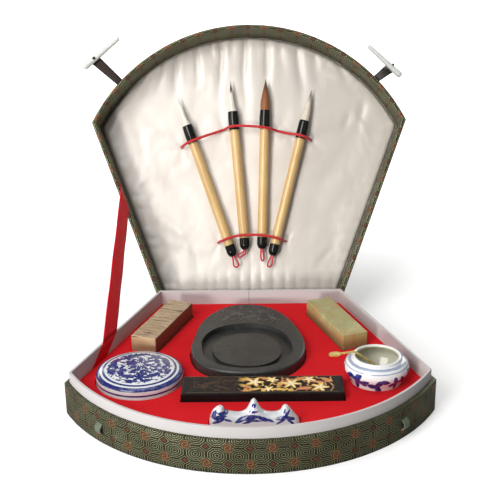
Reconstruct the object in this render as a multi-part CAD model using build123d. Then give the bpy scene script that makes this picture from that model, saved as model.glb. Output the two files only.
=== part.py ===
from build123d import *
import os
import math

# Calligraphy set box: a fan-shaped brocade box with a hinged lid, a fitted tray and a strap-held brush rack.
# Outline frame while building: x to the right, y = 0 at the outer back face and negative to the front.
# Lid frame while building: hinge line at the origin, y = -(distance up the lid), z = depth from the rim.
# Everything is moved at the end so that the origin lies under the middle of the footprint. Sizes in mm.

# ---------------------------------------------------------------- box
BACK_WIDTH = 193.0
CORNER_WIDTH = 330.0
CORNER_DEPTH = 184.0
DEPTH = 286.0
BASE_HEIGHT = 30.6
LID_HEIGHT = 48.5
LID_LEAN = 23.2
COLLAR_RISE = 9.9
PAPER = 0.5
CLOTH = 0.5
TURN_IN = 0.9
BOARD = 3.0
COLLAR = 2.0
CARD = 1.0
SATIN = 4.0
SATIN_GROOVE = 1.0
RIM_GAP = 0.1

# ---------------------------------------------------------------- tray
INSERT_TOP = 25.4
FLOCK = 0.8
POCKET_GAP = 1.0

# ---------------------------------------------------------------- tray items
SEAL_SIDE = 25.5
SEAL_LENGTH = 88.0
SEAL_TOP = INSERT_TOP + 15.0
STONE_TOP = INSERT_TOP + 9.0
STONE_THICK = 17.0
STONE_RECESS = 2.4
STONE_WELL = 3.2
PASTE_RADIUS = 39.2
PASTE_BOTTOM = INSERT_TOP - 16.0
PASTE_SPLIT = INSERT_TOP + 1.4
PASTE_TOP = INSERT_TOP + 12.6
PASTE_WALL = 3.2
POT_MOUTH = 22.0
POT_BELLY = 29.0
POT_NECK = 22.6
POT_WALL = 2.8
POT_TOP = INSERT_TOP + 24.0
POT_BELLY_Z = INSERT_TOP + 12.5
POT_BOTTOM = INSERT_TOP - 14.0
STICK_LENGTH = 141.6
STICK_WIDTH = 32.0
STICK_TOP = INSERT_TOP + 8.0
STICK_THICK = 14.0
REST_DEPTH = 19.0
REST_BOTTOM = INSERT_TOP - 6.0

STONE_CENTRE = (0.0, -102.0)
SEAL_LEFT = (-85.6, -72.9)
SEAL_RIGHT = (84.2, -69.6)
PASTE_CENTRE = (-99.5, -168.5)
POT_CENTRE = (113.0, -172.5)
STICK_CENTRE = (11.0, -195.6)
REST_Y = -250.0

# ---------------------------------------------------------------- brushes
BRUSH_DEPTH = 33.8
HANDLE_R = 5.2
HANDLE_LENGTH = 117.0
FERRULE_R = 5.8
FERRULE_LENGTH = 20.0
HAIR_LENGTH = 34.5
HAIR_R = 5.2
CAP_R = 5.4
CAP_LENGTH = 12.5
TENON_R = 4.2
LOOP_R = 0.85
LOOP_SPREAD = 0.95
LOOP_FIT = 0.05
LOOP_SINK = 2.4
CORD_R = 1.4

# ---------------------------------------------------------------- toggles, clasp loops, ribbon stay
TAB_ROOT = 8.0
TAB_END = 11.0
TAB_THICK = 0.8
TAB_REACH = 34.8
BEAD_R = 0.9
TAB_RISE = 2.5
PEG_LENGTH = 49.0
PEG_THICK_R = 3.5
PEG_THIN_R = 2.25
PEG_PIVOT = 15.0
SHANK_R = 0.8
SHANK_FIT = 0.1
PEG_FACE_GAP = 0.2
RIGHT_TILT = 52.0
CLASP_WIDTH = 7.0
CLASP_TALL = 11.0
CLASP_BULGE = 3.4
CLASP_THICK = 0.8
CLASP_Z = 13.5
STAY_WIDTH = 16.0
STAY_THICK = 0.5
STAY_LOW = 115.5
STAY_HIGH = 103.5

# ---------------------------------------------------------------- sizes that follow
FLOOR_TOP = PAPER + BOARD
BASE_WALL = CLOTH + BOARD + TURN_IN
LID_WALL = CLOTH + BOARD + CLOTH
COLLAR_IN = BASE_WALL + COLLAR
COLLAR_TOP = BASE_HEIGHT + COLLAR_RISE
TOP_BOARD_LOW = LID_HEIGHT - CLOTH - BOARD
CARD_LOW = TOP_BOARD_LOW - CARD
SATIN_FACE = CARD_LOW - SATIN
SIDE_SLOPE = (CORNER_WIDTH - BACK_WIDTH) / 2 / CORNER_DEPTH
SIDE_ANGLE = math.atan(SIDE_SLOPE)
SAG = DEPTH - CORNER_DEPTH
ARC_R = ((CORNER_WIDTH / 2) ** 2 + SAG ** 2) / (2 * SAG)
ARC_Y = -(DEPTH - ARC_R)


# ---------------------------------------------------------------- fan outline
def back_corner(inset):
    x = BACK_WIDTH / 2 + inset * SIDE_SLOPE - inset / math.cos(SIDE_ANGLE)
    return (x, -inset)


def front_corner(inset):
    a = BACK_WIDTH / 2 - inset / math.cos(SIDE_ANGLE)
    b = SIDE_SLOPE
    r = ARC_R - inset
    k = a * b + ARC_Y
    down = (-k + math.sqrt(k * k - (1 + b * b) * (a * a + ARC_Y ** 2 - r * r))) / (1 + b * b)
    return (a + b * down, -down)


def front_middle(inset):
    return (0.0, ARC_Y - (ARC_R - inset))


def mirrored(point):
    return (-point[0], point[1])


def fan_face(inset):
    back = back_corner(inset)
    front = front_corner(inset)
    edges = [
        Line(mirrored(back), back),
        Line(back, front),
        ThreePointArc(front, front_middle(inset), mirrored(front)),
        Line(mirrored(front), mirrored(back)),
    ]
    return Face(Wire(edges))


def slab(face, z0, z1):
    return extrude(Pos(0, 0, z0) * face, amount=z1 - z0, dir=(0, 0, 1))


def fan(inset, z0, z1):
    return slab(fan_face(inset), z0, z1)


def polygon_face(points):
    return Face(Wire([Line(points[i], points[(i + 1) % len(points)]) for i in range(len(points))]))


def wall_back(s0, s1, z0, z1):
    a = back_corner(s0)
    b = back_corner(s1)
    return slab(polygon_face([mirrored(a), a, b, mirrored(b)]), z0, z1)


def wall_side(side, s0, s1, z0, z1):
    points = [back_corner(s0), front_corner(s0), front_corner(s1), back_corner(s1)]
    if side < 0:
        points = [mirrored(p) for p in points]
    return slab(polygon_face(points), z0, z1)


def wall_front(s0, s1, z0, z1):
    a = front_corner(s0)
    b = front_corner(s1)
    edges = [
        ThreePointArc(a, front_middle(s0), mirrored(a)),
        Line(mirrored(a), mirrored(b)),
        ThreePointArc(mirrored(b), front_middle(s1), b),
        Line(b, a),
    ]
    return slab(Face(Wire(edges)), z0, z1)


def four_walls(prefix, suffix, s0, s1, z0, z1):
    return {
        prefix + "back" + suffix: wall_back(s0, s1, z0, z1),
        prefix + "left" + suffix: wall_side(-1, s0, s1, z0, z1),
        prefix + "right" + suffix: wall_side(1, s0, s1, z0, z1),
        prefix + "front" + suffix: wall_front(s0, s1, z0, z1),
    }


# ---------------------------------------------------------------- base shell
def base_cover():
    top = BASE_HEIGHT - CLOTH
    skin = fan(0, PAPER, BASE_HEIGHT) - fan(CLOTH, PAPER - 1, top)
    turn = fan(CLOTH + BOARD, FLOOR_TOP, BASE_HEIGHT) - fan(BASE_WALL, FLOOR_TOP - 1, BASE_HEIGHT + 1)
    return skin - fan(BASE_WALL, FLOOR_TOP, BASE_HEIGHT + 1) + turn


def base_shell():
    made = {
        "base_bottom_sheet": fan(0, 0, PAPER),
        "base_floor_board": fan(CLOTH, PAPER, FLOOR_TOP),
        "base_brocade_cover": base_cover(),
    }
    made.update(four_walls("base_", "_board", CLOTH, CLOTH + BOARD, FLOOR_TOP, BASE_HEIGHT - CLOTH))
    made.update(four_walls("collar_", "", BASE_WALL, COLLAR_IN, FLOOR_TOP, COLLAR_TOP))
    return made


# ---------------------------------------------------------------- outlines of the tray items
STONE_OUTLINE = [
    (-55.4, -117.0), (-52.7, -94.8), (-49.1, -73.3), (-41.3, -53.0), (-32.1, -40.0), (-21.0, -30.6),
    (-9.7, -27.0), (4.1, -27.6), (15.6, -32.2), (26.5, -42.4), (36.0, -57.0), (42.8, -73.5),
    (47.9, -91.6), (51.2, -110.7), (51.4, -126.0), (48.4, -142.0), (41.8, -155.6), (30.8, -167.0),
    (13.0, -173.4), (-8.3, -174.2), (-26.2, -170.4), (-40.9, -161.8), (-50.2, -148.8), (-54.6, -133.0),
]
RECESS_OUTLINE = [
    (-45.6, -118.0), (-42.4, -98.0), (-30.5, -81.5), (-10.0, -73.6), (11.0, -75.4), (28.5, -89.0),
    (38.0, -112.0), (38.7, -136.0), (29.0, -155.0), (9.0, -165.4), (-14.0, -165.4), (-33.0, -155.8),
    (-43.6, -138.0),
]
PLATEAU_OUTLINE = [
    (-35.0, -128.0), (-28.0, -103.0), (-8.0, -91.0), (15.0, -95.0), (27.6, -117.0), (28.0, -136.0),
    (16.5, -153.6), (-5.0, -158.6), (-25.0, -150.0),
]
REST_PROFILE = [
    (-33.9, 30.5), (-32.4, 35.6), (-30.3, 39.3), (-26.1, 42.7), (-22.7, 42.3), (-20.4, 38.6), (-15.2, 36.8),
    (-8.3, 36.2), (-3.4, 39.2), (-0.6, 44.5), (1.5, 48.4), (3.6, 49.4), (5.6, 47.4), (8.3, 42.1), (11.8, 37.6),
    (18.0, 36.0), (24.0, 37.4), (27.0, 41.9), (29.6, 43.3), (32.5, 41.2), (36.6, 35.6), (40.3, 30.2), (41.2, 27.0),
]


def closed_spline(points):
    return Face(Wire(Spline(*points, periodic=True)))


def grown(points, amount):
    moved = []
    for i in range(len(points)):
        before = points[i - 1]
        after = points[(i + 1) % len(points)]
        dx = after[0] - before[0]
        dy = after[1] - before[1]
        length = math.hypot(dx, dy)
        moved.append((points[i][0] - dy / length * amount, points[i][1] + dx / length * amount))
    return moved


def stone_face(grow):
    return closed_spline(grown(STONE_OUTLINE, grow))


def seal_face(side, centre, grow):
    face = Rectangle(SEAL_SIDE + 2 * grow, SEAL_LENGTH + 2 * grow)
    return Pos(*centre) * Rot(0, 0, side * math.degrees(SIDE_ANGLE)) * face


def disc_face(centre, radius):
    return Pos(*centre) * Circle(radius)


def stick_face(grow):
    return Pos(*STICK_CENTRE) * Rectangle(STICK_LENGTH + 2 * grow, STICK_WIDTH + 2 * grow)


def rest_face(grow):
    left = REST_PROFILE[0][0]
    right = REST_PROFILE[-1][0]
    middle = (left + right) / 2
    return Pos(middle, REST_Y) * Rectangle(right - left + 2 * grow, REST_DEPTH + 2 * grow)


def pockets(grow, floor_drop):
    top = INSERT_TOP + 1
    plan = [
        (stone_face(grow), STONE_TOP - STONE_THICK),
        (seal_face(-1, SEAL_LEFT, grow), SEAL_TOP - SEAL_SIDE),
        (seal_face(1, SEAL_RIGHT, grow), SEAL_TOP - SEAL_SIDE),
        (disc_face(PASTE_CENTRE, PASTE_RADIUS + grow), PASTE_BOTTOM),
        (disc_face(POT_CENTRE, POT_NECK + grow), POT_BOTTOM),
        (stick_face(grow), STICK_TOP - STICK_THICK),
        (rest_face(grow), REST_BOTTOM),
    ]
    return [slab(face, floor - floor_drop, top) for face, floor in plan]


def insert():
    foam_top = INSERT_TOP - FLOCK
    foam = fan(COLLAR_IN, FLOOR_TOP, foam_top)
    lining = fan(COLLAR_IN, foam_top, INSERT_TOP)
    trim = Pos(0, -DEPTH / 2, INSERT_TOP + 5) * Box(2 * DEPTH, 2 * DEPTH, 10)
    for hole in pockets(POCKET_GAP + FLOCK, FLOCK):
        foam = foam - hole
        lining = lining + (hole - trim)
    for hole in pockets(POCKET_GAP, 0):
        lining = lining - hole
    return {"insert_foam": foam, "insert_flock": lining}


# ---------------------------------------------------------------- tray items
def ink_stone():
    body = slab(stone_face(0), STONE_TOP - STONE_THICK, STONE_TOP)
    body = fillet(body.faces().sort_by(Axis.Z)[-1].edges(), 2.0)
    body = chamfer(body.faces().sort_by(Axis.Z)[0].edges(), 1.0)
    recess = slab(closed_spline(RECESS_OUTLINE), STONE_TOP - STONE_RECESS, STONE_TOP + 1)
    well = slab(closed_spline(RECESS_OUTLINE), STONE_TOP - STONE_RECESS - STONE_WELL, STONE_TOP)
    well = well - slab(closed_spline(PLATEAU_OUTLINE), STONE_TOP - 20, STONE_TOP + 1)
    return body - recess - well


def seal(side, centre):
    block = slab(seal_face(side, centre, 0), SEAL_TOP - SEAL_SIDE, SEAL_TOP)
    return fillet(block.edges(), 0.8)


def profile_face(edges):
    return Face(Wire(edges))


def paste_bowl():
    r = PASTE_RADIUS
    low = PASTE_BOTTOM
    split = PASTE_SPLIT
    foot = r - 12
    edges = [
        Line((0, 0, low + 1.2), (foot - 3, 0, low + 1.2)),
        Line((foot - 3, 0, low + 1.2), (foot - 3, 0, low)),
        Line((foot - 3, 0, low), (foot, 0, low)),
        Line((foot, 0, low), (foot, 0, low + 1.6)),
        Spline((foot, 0, low + 1.6), (r - 3.2, 0, low + 6.0), (r, 0, split - 3.0),
               tangents=[(1, 0, 0.05), (0, 0, 1)]),
        Line((r, 0, split - 3.0), (r, 0, split)),
        Line((r, 0, split), (r - PASTE_WALL, 0, split)),
        Line((r - PASTE_WALL, 0, split), (r - PASTE_WALL, 0, split - 3.0)),
        Spline((r - PASTE_WALL, 0, split - 3.0), (r - PASTE_WALL - 3.0, 0, low + 8.4), (foot - 3, 0, low + 4.4),
               tangents=[(0, 0, -1), (-1, 0, -0.05)]),
        Line((foot - 3, 0, low + 4.4), (0, 0, low + 4.4)),
        Line((0, 0, low + 4.4), (0, 0, low + 1.2)),
    ]
    return Pos(*PASTE_CENTRE) * revolve(profile_face(edges), Axis.Z)


def cinnabar_paste():
    low = PASTE_BOTTOM + 4.4
    r = PASTE_RADIUS - 15.5
    edges = [
        Line((0, 0, low), (r, 0, low)),
        Line((r, 0, low), (r, 0, low + 4.2)),
        Spline((r, 0, low + 4.2), (r * 0.55, 0, low + 6.6), (0, 0, low + 7.2), tangents=[(-0.6, 0, 1), (-1, 0, 0)]),
        Line((0, 0, low + 7.2), (0, 0, low)),
    ]
    return Pos(*PASTE_CENTRE) * revolve(profile_face(edges), Axis.Z)


def paste_lid():
    r = PASTE_RADIUS
    low = PASTE_SPLIT + 0.15
    shoulder = INSERT_TOP + 8.4
    top = PASTE_TOP
    ring = r - PASTE_WALL - 0.4
    edges = [
        Line((0, 0, top - 3.4), (ring - 9, 0, top - 4.6)),
        Spline((ring - 9, 0, top - 4.6), (ring - 2.6, 0, shoulder - 3.4), (ring - 2.0, 0, low - 2.0),
               tangents=[(1, 0, -0.2), (0, 0, -1)]),
        Line((ring - 2.0, 0, low - 2.0), (ring, 0, low - 2.0)),
        Line((ring, 0, low - 2.0), (ring, 0, low)),
        Line((ring, 0, low), (r, 0, low)),
        Line((r, 0, low), (r, 0, shoulder - 3.2)),
        Spline((r, 0, shoulder - 3.2), (r - 1.5, 0, shoulder + 0.2), (r - 5.5, 0, shoulder + 1.5),
               tangents=[(0, 0, 1), (-1, 0, 0.25)]),
        Spline((r - 5.5, 0, shoulder + 1.5), (r * 0.5, 0, top - 0.6), (0, 0, top),
               tangents=[(-1, 0, 0.25), (-1, 0, 0)]),
        Line((0, 0, top), (0, 0, top - 3.4)),
    ]
    return Pos(*PASTE_CENTRE) * revolve(profile_face(edges), Axis.Z)


def pot_outer(shrink):
    return [
        (POT_NECK - 5.4 - shrink, POT_BOTTOM + 1.6),
        (POT_NECK - 0.6 - shrink, INSERT_TOP - 4.0),
        (POT_NECK + 1.8 - shrink, INSERT_TOP + 3.4),
        (POT_BELLY - shrink, POT_BELLY_Z),
        (POT_MOUTH + 2.4 - shrink, POT_TOP - 3.4),
    ]


def water_pot():
    foot = POT_NECK - 6.0
    outer = pot_outer(0)
    inner = pot_outer(POT_WALL)
    lip = POT_MOUTH - 1.5
    floor = POT_BOTTOM + 5.0
    inner[0] = (foot - 4.0, floor)
    edges = [
        Line((0, 0, POT_BOTTOM + 1.4), (foot - 3, 0, POT_BOTTOM + 1.4)),
        Line((foot - 3, 0, POT_BOTTOM + 1.4), (foot - 3, 0, POT_BOTTOM)),
        Line((foot - 3, 0, POT_BOTTOM), (foot, 0, POT_BOTTOM)),
        Line((foot, 0, POT_BOTTOM), (outer[0][0], 0, outer[0][1])),
        Spline(*[(p[0], 0, p[1]) for p in outer], (POT_MOUTH, 0, POT_TOP - 1.5),
               tangents=[(0.35, 0, 1), (-0.1, 0, 1)]),
        ThreePointArc((POT_MOUTH, 0, POT_TOP - 1.5), (lip, 0, POT_TOP), (POT_MOUTH - 3.0, 0, POT_TOP - 1.5)),
        Spline((POT_MOUTH - 3.0, 0, POT_TOP - 1.5), *[(p[0], 0, p[1]) for p in reversed(inner)],
               tangents=[(0.1, 0, -1), (-1, 0, -0.05)]),
        Line((inner[0][0], 0, floor), (0, 0, floor)),
        Line((0, 0, floor), (0, 0, POT_BOTTOM + 1.4)),
    ]
    return Pos(*POT_CENTRE) * revolve(profile_face(edges), Axis.Z)


def rod(points, radius, radii):
    line = FilletPolyline(*points, radius=radii)
    start = line @ 0
    heading = line % 0
    print("rod bends (mm):", [round(r, 2) for r in radii], "length", round(line.length, 1), "radius", radius)
    return sweep(Plane(origin=start, z_dir=heading) * Circle(radius), path=line)


def spoon():
    rim = (POT_CENTRE[0] - 19.5, POT_CENTRE[1] + 2.6, POT_TOP + 1.9)
    handle = (POT_CENTRE[0] - 34.1, POT_CENTRE[1] - 0.2, POT_TOP + 1.3)
    bowl = (POT_CENTRE[0] + 5.6, POT_CENTRE[1] + 1.6, POT_TOP - 16.2)
    stem = rod([handle, rim, bowl], 0.9, [2.5])
    tip = (POT_CENTRE[0] - 41.1, POT_CENTRE[1] - 3.4, POT_TOP + 2.1)
    back = Vector(*tip) - Vector(*handle)
    flat = Plane(origin=Vector(*handle) + back * 0.5, x_dir=back, z_dir=(0.1, 0, 1))
    leaf = flat * extrude(Ellipse(6.0, 3.4), amount=0.7, both=True)
    along = Vector(*bowl) - Vector(*rim)
    dish_plane = Plane(origin=Vector(*bowl), x_dir=along, z_dir=Vector(0, 1, 0).cross(along) * -1)
    dish = dish_plane * (scale(Sphere(1), by=(7.0, 4.4, 2.6)) - Pos(0.3, 0, 1.6) * scale(Sphere(1), by=(6.2, 3.6, 2.4)))
    return stem + leaf + dish


def ink_stick():
    block = slab(stick_face(0), STICK_TOP - STICK_THICK, STICK_TOP)
    return fillet(block.edges(), 1.6)


def brush_rest():
    left = REST_PROFILE[0]
    right = REST_PROFILE[-1]
    front = REST_Y - REST_DEPTH / 2
    points = [(p[0], front, p[1]) for p in REST_PROFILE]
    edges = [
        Spline(*points, tangents=[(-0.05, 0, 1), (-0.05, 0, -1)]),
        Line(points[-1], (right[0], front, REST_BOTTOM)),
        Line((right[0], front, REST_BOTTOM), (left[0], front, REST_BOTTOM)),
        Line((left[0], front, REST_BOTTOM), points[0]),
    ]
    return extrude(Face(Wire(edges)), amount=REST_DEPTH, dir=(0, 1, 0))


# ---------------------------------------------------------------- lid
def lid_cover():
    skin = fan(0, RIM_GAP, LID_HEIGHT) - fan(CLOTH, RIM_GAP + CLOTH, LID_HEIGHT - CLOTH)
    turn = fan(CLOTH + BOARD, RIM_GAP, TOP_BOARD_LOW) - fan(LID_WALL, RIM_GAP - 1, TOP_BOARD_LOW + 1)
    return skin - fan(LID_WALL, RIM_GAP - 1, TOP_BOARD_LOW) + turn


def lid_shell():
    made = {
        "lid_top_board": fan(CLOTH, TOP_BOARD_LOW, LID_HEIGHT - CLOTH),
        "lid_brocade_cover": lid_cover(),
        "lid_lining_card": fan(LID_WALL, CARD_LOW, TOP_BOARD_LOW),
        "satin_panel": fan(LID_WALL + SATIN_GROOVE, SATIN_FACE, CARD_LOW),
    }
    made.update(four_walls("lid_", "_board", CLOTH, CLOTH + BOARD, RIM_GAP + CLOTH, TOP_BOARD_LOW))
    return made


# Brushes: the cap end and the tip as (x, distance up the lid)
BRUSHES = [
    ((-18.3, 43.2), (-78.0, 217.0)),
    ((-5.3, 50.2), (-20.1, 234.0)),
    ((12.6, 50.9), (18.6, 235.0)),
    ((23.8, 43.6), (68.4, 222.0)),
]
# Hanging loops: half width, length, sideways swing
LOOPS = [(2.9, 13.2, 0.0), (2.0, 12.6, 62.0), (1.7, 13.8, -6.0), (2.5, 13.6, 4.0)]


def brush_handle():
    bar = Pos(0, 0, CAP_LENGTH) * Cylinder(HANDLE_R, HANDLE_LENGTH, align=(Align.CENTER, Align.CENTER, Align.MIN))
    tenon = Pos(0, 0, CAP_LENGTH - 6) * Cylinder(TENON_R, HANDLE_LENGTH + 14,
                                                 align=(Align.CENTER, Align.CENTER, Align.MIN))
    return bar + tenon


def brush_ferrule():
    low = CAP_LENGTH + HANDLE_LENGTH
    high = low + FERRULE_LENGTH
    edges = [
        Line((TENON_R, 0, low), (FERRULE_R - 0.3, 0, low)),
        Spline((FERRULE_R - 0.3, 0, low), (FERRULE_R, 0, low + 3), (FERRULE_R - 0.1, 0, high - 4),
               (FERRULE_R - 0.4, 0, high), tangents=[(0.2, 0, 1), (-0.1, 0, 1)]),
        Line((FERRULE_R - 0.4, 0, high), (HAIR_R - 0.4, 0, high)),
        Line((HAIR_R - 0.4, 0, high), (HAIR_R - 0.4, 0, high - 10)),
        Line((HAIR_R - 0.4, 0, high - 10), (0, 0, high - 10)),
        Line((0, 0, high - 10), (0, 0, low + 8)),
        Line((0, 0, low + 8), (TENON_R, 0, low + 8)),
        Line((TENON_R, 0, low + 8), (TENON_R, 0, low)),
    ]
    return revolve(profile_face(edges), Axis.Z)


def brush_hair():
    low = CAP_LENGTH + HANDLE_LENGTH + FERRULE_LENGTH
    r = HAIR_R
    edges = [
        Line((0, 0, low - 10), (r - 0.4, 0, low - 10)),
        Line((r - 0.4, 0, low - 10), (r - 0.4, 0, low)),
        Spline((r - 0.4, 0, low), (r, 0, low + 6), (r - 1.2, 0, low + 16), (1.7, 0, low + HAIR_LENGTH - 7),
               (0.25, 0, low + HAIR_LENGTH), tangents=[(0.2, 0, 1), (-0.12, 0, 1)]),
        Line((0.25, 0, low + HAIR_LENGTH), (0, 0, low + HAIR_LENGTH)),
        Line((0, 0, low + HAIR_LENGTH), (0, 0, low - 10)),
    ]
    return revolve(profile_face(edges), Axis.Z)


def brush_cap():
    edges = [
        Line((TENON_R, 0, CAP_LENGTH), (CAP_R - 0.2, 0, CAP_LENGTH)),
        Line((CAP_R - 0.2, 0, CAP_LENGTH), (CAP_R, 0, CAP_LENGTH - 0.6)),
        Line((CAP_R, 0, CAP_LENGTH - 0.6), (CAP_R, 0, 5.6)),
        Spline((CAP_R, 0, 5.6), (CAP_R - 1.2, 0, 1.6), (2.3, 0, 0), tangents=[(0, 0, -1), (-1, 0, -0.1)]),
        Line((2.3, 0, 0), (0, 0, 0)),
        Line((0, 0, 0), (0, 0, CAP_LENGTH - 6)),
        Line((0, 0, CAP_LENGTH - 6), (TENON_R, 0, CAP_LENGTH - 6)),
        Line((TENON_R, 0, CAP_LENGTH - 6), (TENON_R, 0, CAP_LENGTH)),
    ]
    cap = revolve(profile_face(edges), Axis.Z)
    for x in (-LOOP_SPREAD, LOOP_SPREAD):
        cap = cap - Pos(x, 0, 0) * Cylinder(LOOP_R + LOOP_FIT, 2 * LOOP_SINK)
    return cap


def hanging_loop(half_width, length, swing):
    bend = math.radians(swing)
    drop = 2.6

    def hung(x, z):
        if z > -drop:
            return (x, 0, z)
        z = z + drop
        return (x * math.cos(bend) - z * math.sin(bend), 0, -drop + x * math.sin(bend) + z * math.cos(bend))

    points = [
        (-LOOP_SPREAD, 0, LOOP_SINK),
        (-LOOP_SPREAD, 0, -drop),
        hung(-half_width, -length * 0.62),
        hung(-half_width * 0.72, -length + LOOP_R),
        hung(half_width * 0.72, -length + LOOP_R),
        hung(half_width, -length * 0.62),
        (LOOP_SPREAD, 0, -drop),
        (LOOP_SPREAD, 0, LOOP_SINK),
    ]
    radii = [0, 1.6, 2.2, 1.0, 1.0, 2.2, 1.6, 0]
    return rod(points, LOOP_R, radii[1:-1])


def brush_place(cap_end, tip):
    along = Vector(tip[0] - cap_end[0], -(tip[1] - cap_end[1]), 0)
    origin = Vector(cap_end[0], -cap_end[1], BRUSH_DEPTH)
    return Location(Plane(origin=origin, x_dir=along.cross(Vector(0, 0, 1)), z_dir=along))


def brushes():
    made = {}
    for number in range(len(BRUSHES)):
        cap_end, tip = BRUSHES[number]
        place = brush_place(cap_end, tip)
        name = "brush_" + str(number + 1) + "_"
        made[name + "handle"] = place * brush_handle()
        made[name + "ferrule"] = place * brush_ferrule()
        made[name + "hair"] = place * brush_hair()
        made[name + "cap"] = place * brush_cap()
        made[name + "loop"] = place * hanging_loop(*LOOPS[number])
    return made


# Elastic cords: (x, distance up the lid, depth); the first and last points lie on the satin
OVER = BRUSH_DEPTH - FERRULE_R - CORD_R - 0.5
LOW_OVER = BRUSH_DEPTH - CAP_R - CORD_R - 0.5
ON_SATIN = SATIN_FACE - CORD_R - 0.02
UPPER_CORD = [
    (-73.4, 161.9, SATIN_FACE), (-73.4, 161.9, SATIN_FACE - 3.5), (-65.4, 165.8, OVER), (-56.6, 169.2, OVER),
    (-29.5, 179.6, ON_SATIN), (-26.4, 180.7, ON_SATIN), (-20.4, 182.3, OVER), (-10.0, 183.3, OVER),
    (21.5, 180.8, OVER), (27.5, 179.2, ON_SATIN), (45.4, 175.0, ON_SATIN), (51.3, 173.3, OVER),
    (60.4, 170.4, OVER), (66.9, 168.0, SATIN_FACE - 3.5), (66.9, 168.0, SATIN_FACE),
]
UPPER_RADII = [3, 4, 8, 4, 2.2, 3, 20, 3, 2.2, 2.2, 3, 3, 3]
LOWER_CORD = [
    (-34.4, 58.1, SATIN_FACE), (-34.4, 58.1, SATIN_FACE - 3.5), (-28.8, 60.1, LOW_OVER), (-20.0, 63.6, LOW_OVER),
    (-6.6, 66.0, LOW_OVER), (13.0, 65.6, LOW_OVER), (26.6, 62.8, LOW_OVER), (32.6, 60.4, LOW_OVER),
    (38.4, 59.0, SATIN_FACE - 3.5), (38.4, 59.0, SATIN_FACE),
]
LOWER_RADII = [3, 4, 20, 30, 30, 20, 4, 3]


def elastic_cord(points, radii):
    return rod([(p[0], -p[1], p[2]) for p in points], CORD_R, radii)


# ---------------------------------------------------------------- toggles (built flat in the lid frame)
def toggle_place(x, tilt):
    away = Vector(x, -math.sqrt(ARC_R ** 2 - x ** 2), 0).normalized()
    root = Vector(0, ARC_Y, RIM_GAP + BEAD_R + TAB_RISE) + away * (ARC_R + BEAD_R + 0.1)
    return Location(Plane(origin=root, x_dir=away, z_dir=(0, 0, 1))) * Rot(0, -tilt, 0)


def toggle_ribbon():
    end = TAB_REACH + 2.6
    strip = slab(polygon_face([(0, -TAB_ROOT / 2), (end, -TAB_END / 2), (end, TAB_END / 2), (0, TAB_ROOT / 2)]),
                 -TAB_THICK / 2, TAB_THICK / 2)
    bead = Rot(90, 0, 0) * Cylinder(BEAD_R, TAB_ROOT)
    below = TAB_THICK / 2 + 2 * PEG_THICK_R + PEG_FACE_GAP
    shank = Pos(TAB_REACH, 0, -below / 2) * Cylinder(SHANK_R, below + 0.4)
    knot = Pos(TAB_REACH, 0, -below - 0.5) * Cylinder(2 * SHANK_R, 0.8)
    return strip + bead + shank + knot


def toggle_peg(side):
    low = PEG_THICK_R
    high = PEG_LENGTH - PEG_THIN_R
    bar = Pos(0, 0, low) * Cone(PEG_THICK_R, PEG_THIN_R, high - low, align=(Align.CENTER, Align.CENTER, Align.MIN))
    bar = bar - Pos(0, 0, PEG_PIVOT) * Rot(90, 0, 0) * Cylinder(SHANK_R + SHANK_FIT, 4 * PEG_THICK_R)
    bar = bar + Pos(0, 0, low) * Sphere(PEG_THICK_R) + Pos(0, 0, high) * Sphere(PEG_THIN_R)
    lift = -(TAB_THICK / 2 + PEG_FACE_GAP + PEG_THICK_R)
    return Pos(TAB_REACH, 0, lift) * Rot(0, 0, side * 7) * Rot(-side * 90, 0, 0) * Pos(0, 0, -PEG_PIVOT) * bar


def clasp_loop(x):
    away = Vector(x, -math.sqrt(ARC_R ** 2 - x ** 2), 0).normalized()
    foot = Vector(0, ARC_Y, CLASP_Z) + away * ARC_R
    h = CLASP_TALL / 2
    t = CLASP_THICK
    sink = ARC_R - math.sqrt(ARC_R ** 2 - (CLASP_WIDTH / 2) ** 2)
    edges = [
        Line((0, 0, -h), (0, 0, -h + 1.6)),
        ThreePointArc((0, 0, -h + 1.6), (CLASP_BULGE - t, 0, 0), (0, 0, h - 1.6)),
        Line((0, 0, h - 1.6), (0, 0, h)),
        ThreePointArc((0, 0, h), (CLASP_BULGE, 0, 0), (0, 0, -h)),
    ]
    strap = extrude(profile_face(edges), amount=CLASP_WIDTH / 2, dir=(0, 1, 0), both=True)
    pads = Pos(-0.5, 0, 0) * (Box(1, CLASP_WIDTH, CLASP_TALL) - Box(2, CLASP_WIDTH + 1, CLASP_TALL - 3.2))
    placed = Location(Plane(origin=foot, x_dir=away, z_dir=(0, 0, 1))) * (strap + pads)
    return placed - Pos(0, ARC_Y, 0) * Cylinder(ARC_R, 4 * DEPTH)


# ---------------------------------------------------------------- spine cloth and ribbon stay
def lid_point(x, up, deep):
    lean = math.radians(LID_LEAN)
    y = up * math.sin(lean) + deep * math.cos(lean)
    z = BASE_HEIGHT + up * math.cos(lean) - deep * math.sin(lean)
    return Vector(x, y, z)


def hinge_cloth():
    width = BACK_WIDTH - 4
    lower = Pos(0, CLOTH / 2, BASE_HEIGHT - 6.3) * Box(width, CLOTH, 12.0)
    upper = Pos(0, 0.05 + CLOTH / 2, 6.3) * Box(width, CLOTH, 12.0)
    upper = Pos(0, 0, BASE_HEIGHT) * Rot(-(90 + LID_LEAN), 0, 0) * upper
    return lower + upper


def ruled(a0, a1, b0, b1):
    return Face.make_surface_from_curves(Edge.make_line(a0, a1), Edge.make_line(b0, b1))


def strip_solid(sections):
    faces = [ruled(*[sections[0][i] for i in (0, 1, 3, 2)]), ruled(*[sections[-1][i] for i in (0, 1, 3, 2)])]
    for before, after in zip(sections, sections[1:]):
        for i in range(4):
            j = (i + 1) % 4
            faces.append(ruled(before[i], before[j], after[i], after[j]))
    return Solid(Shell(faces))


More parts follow.
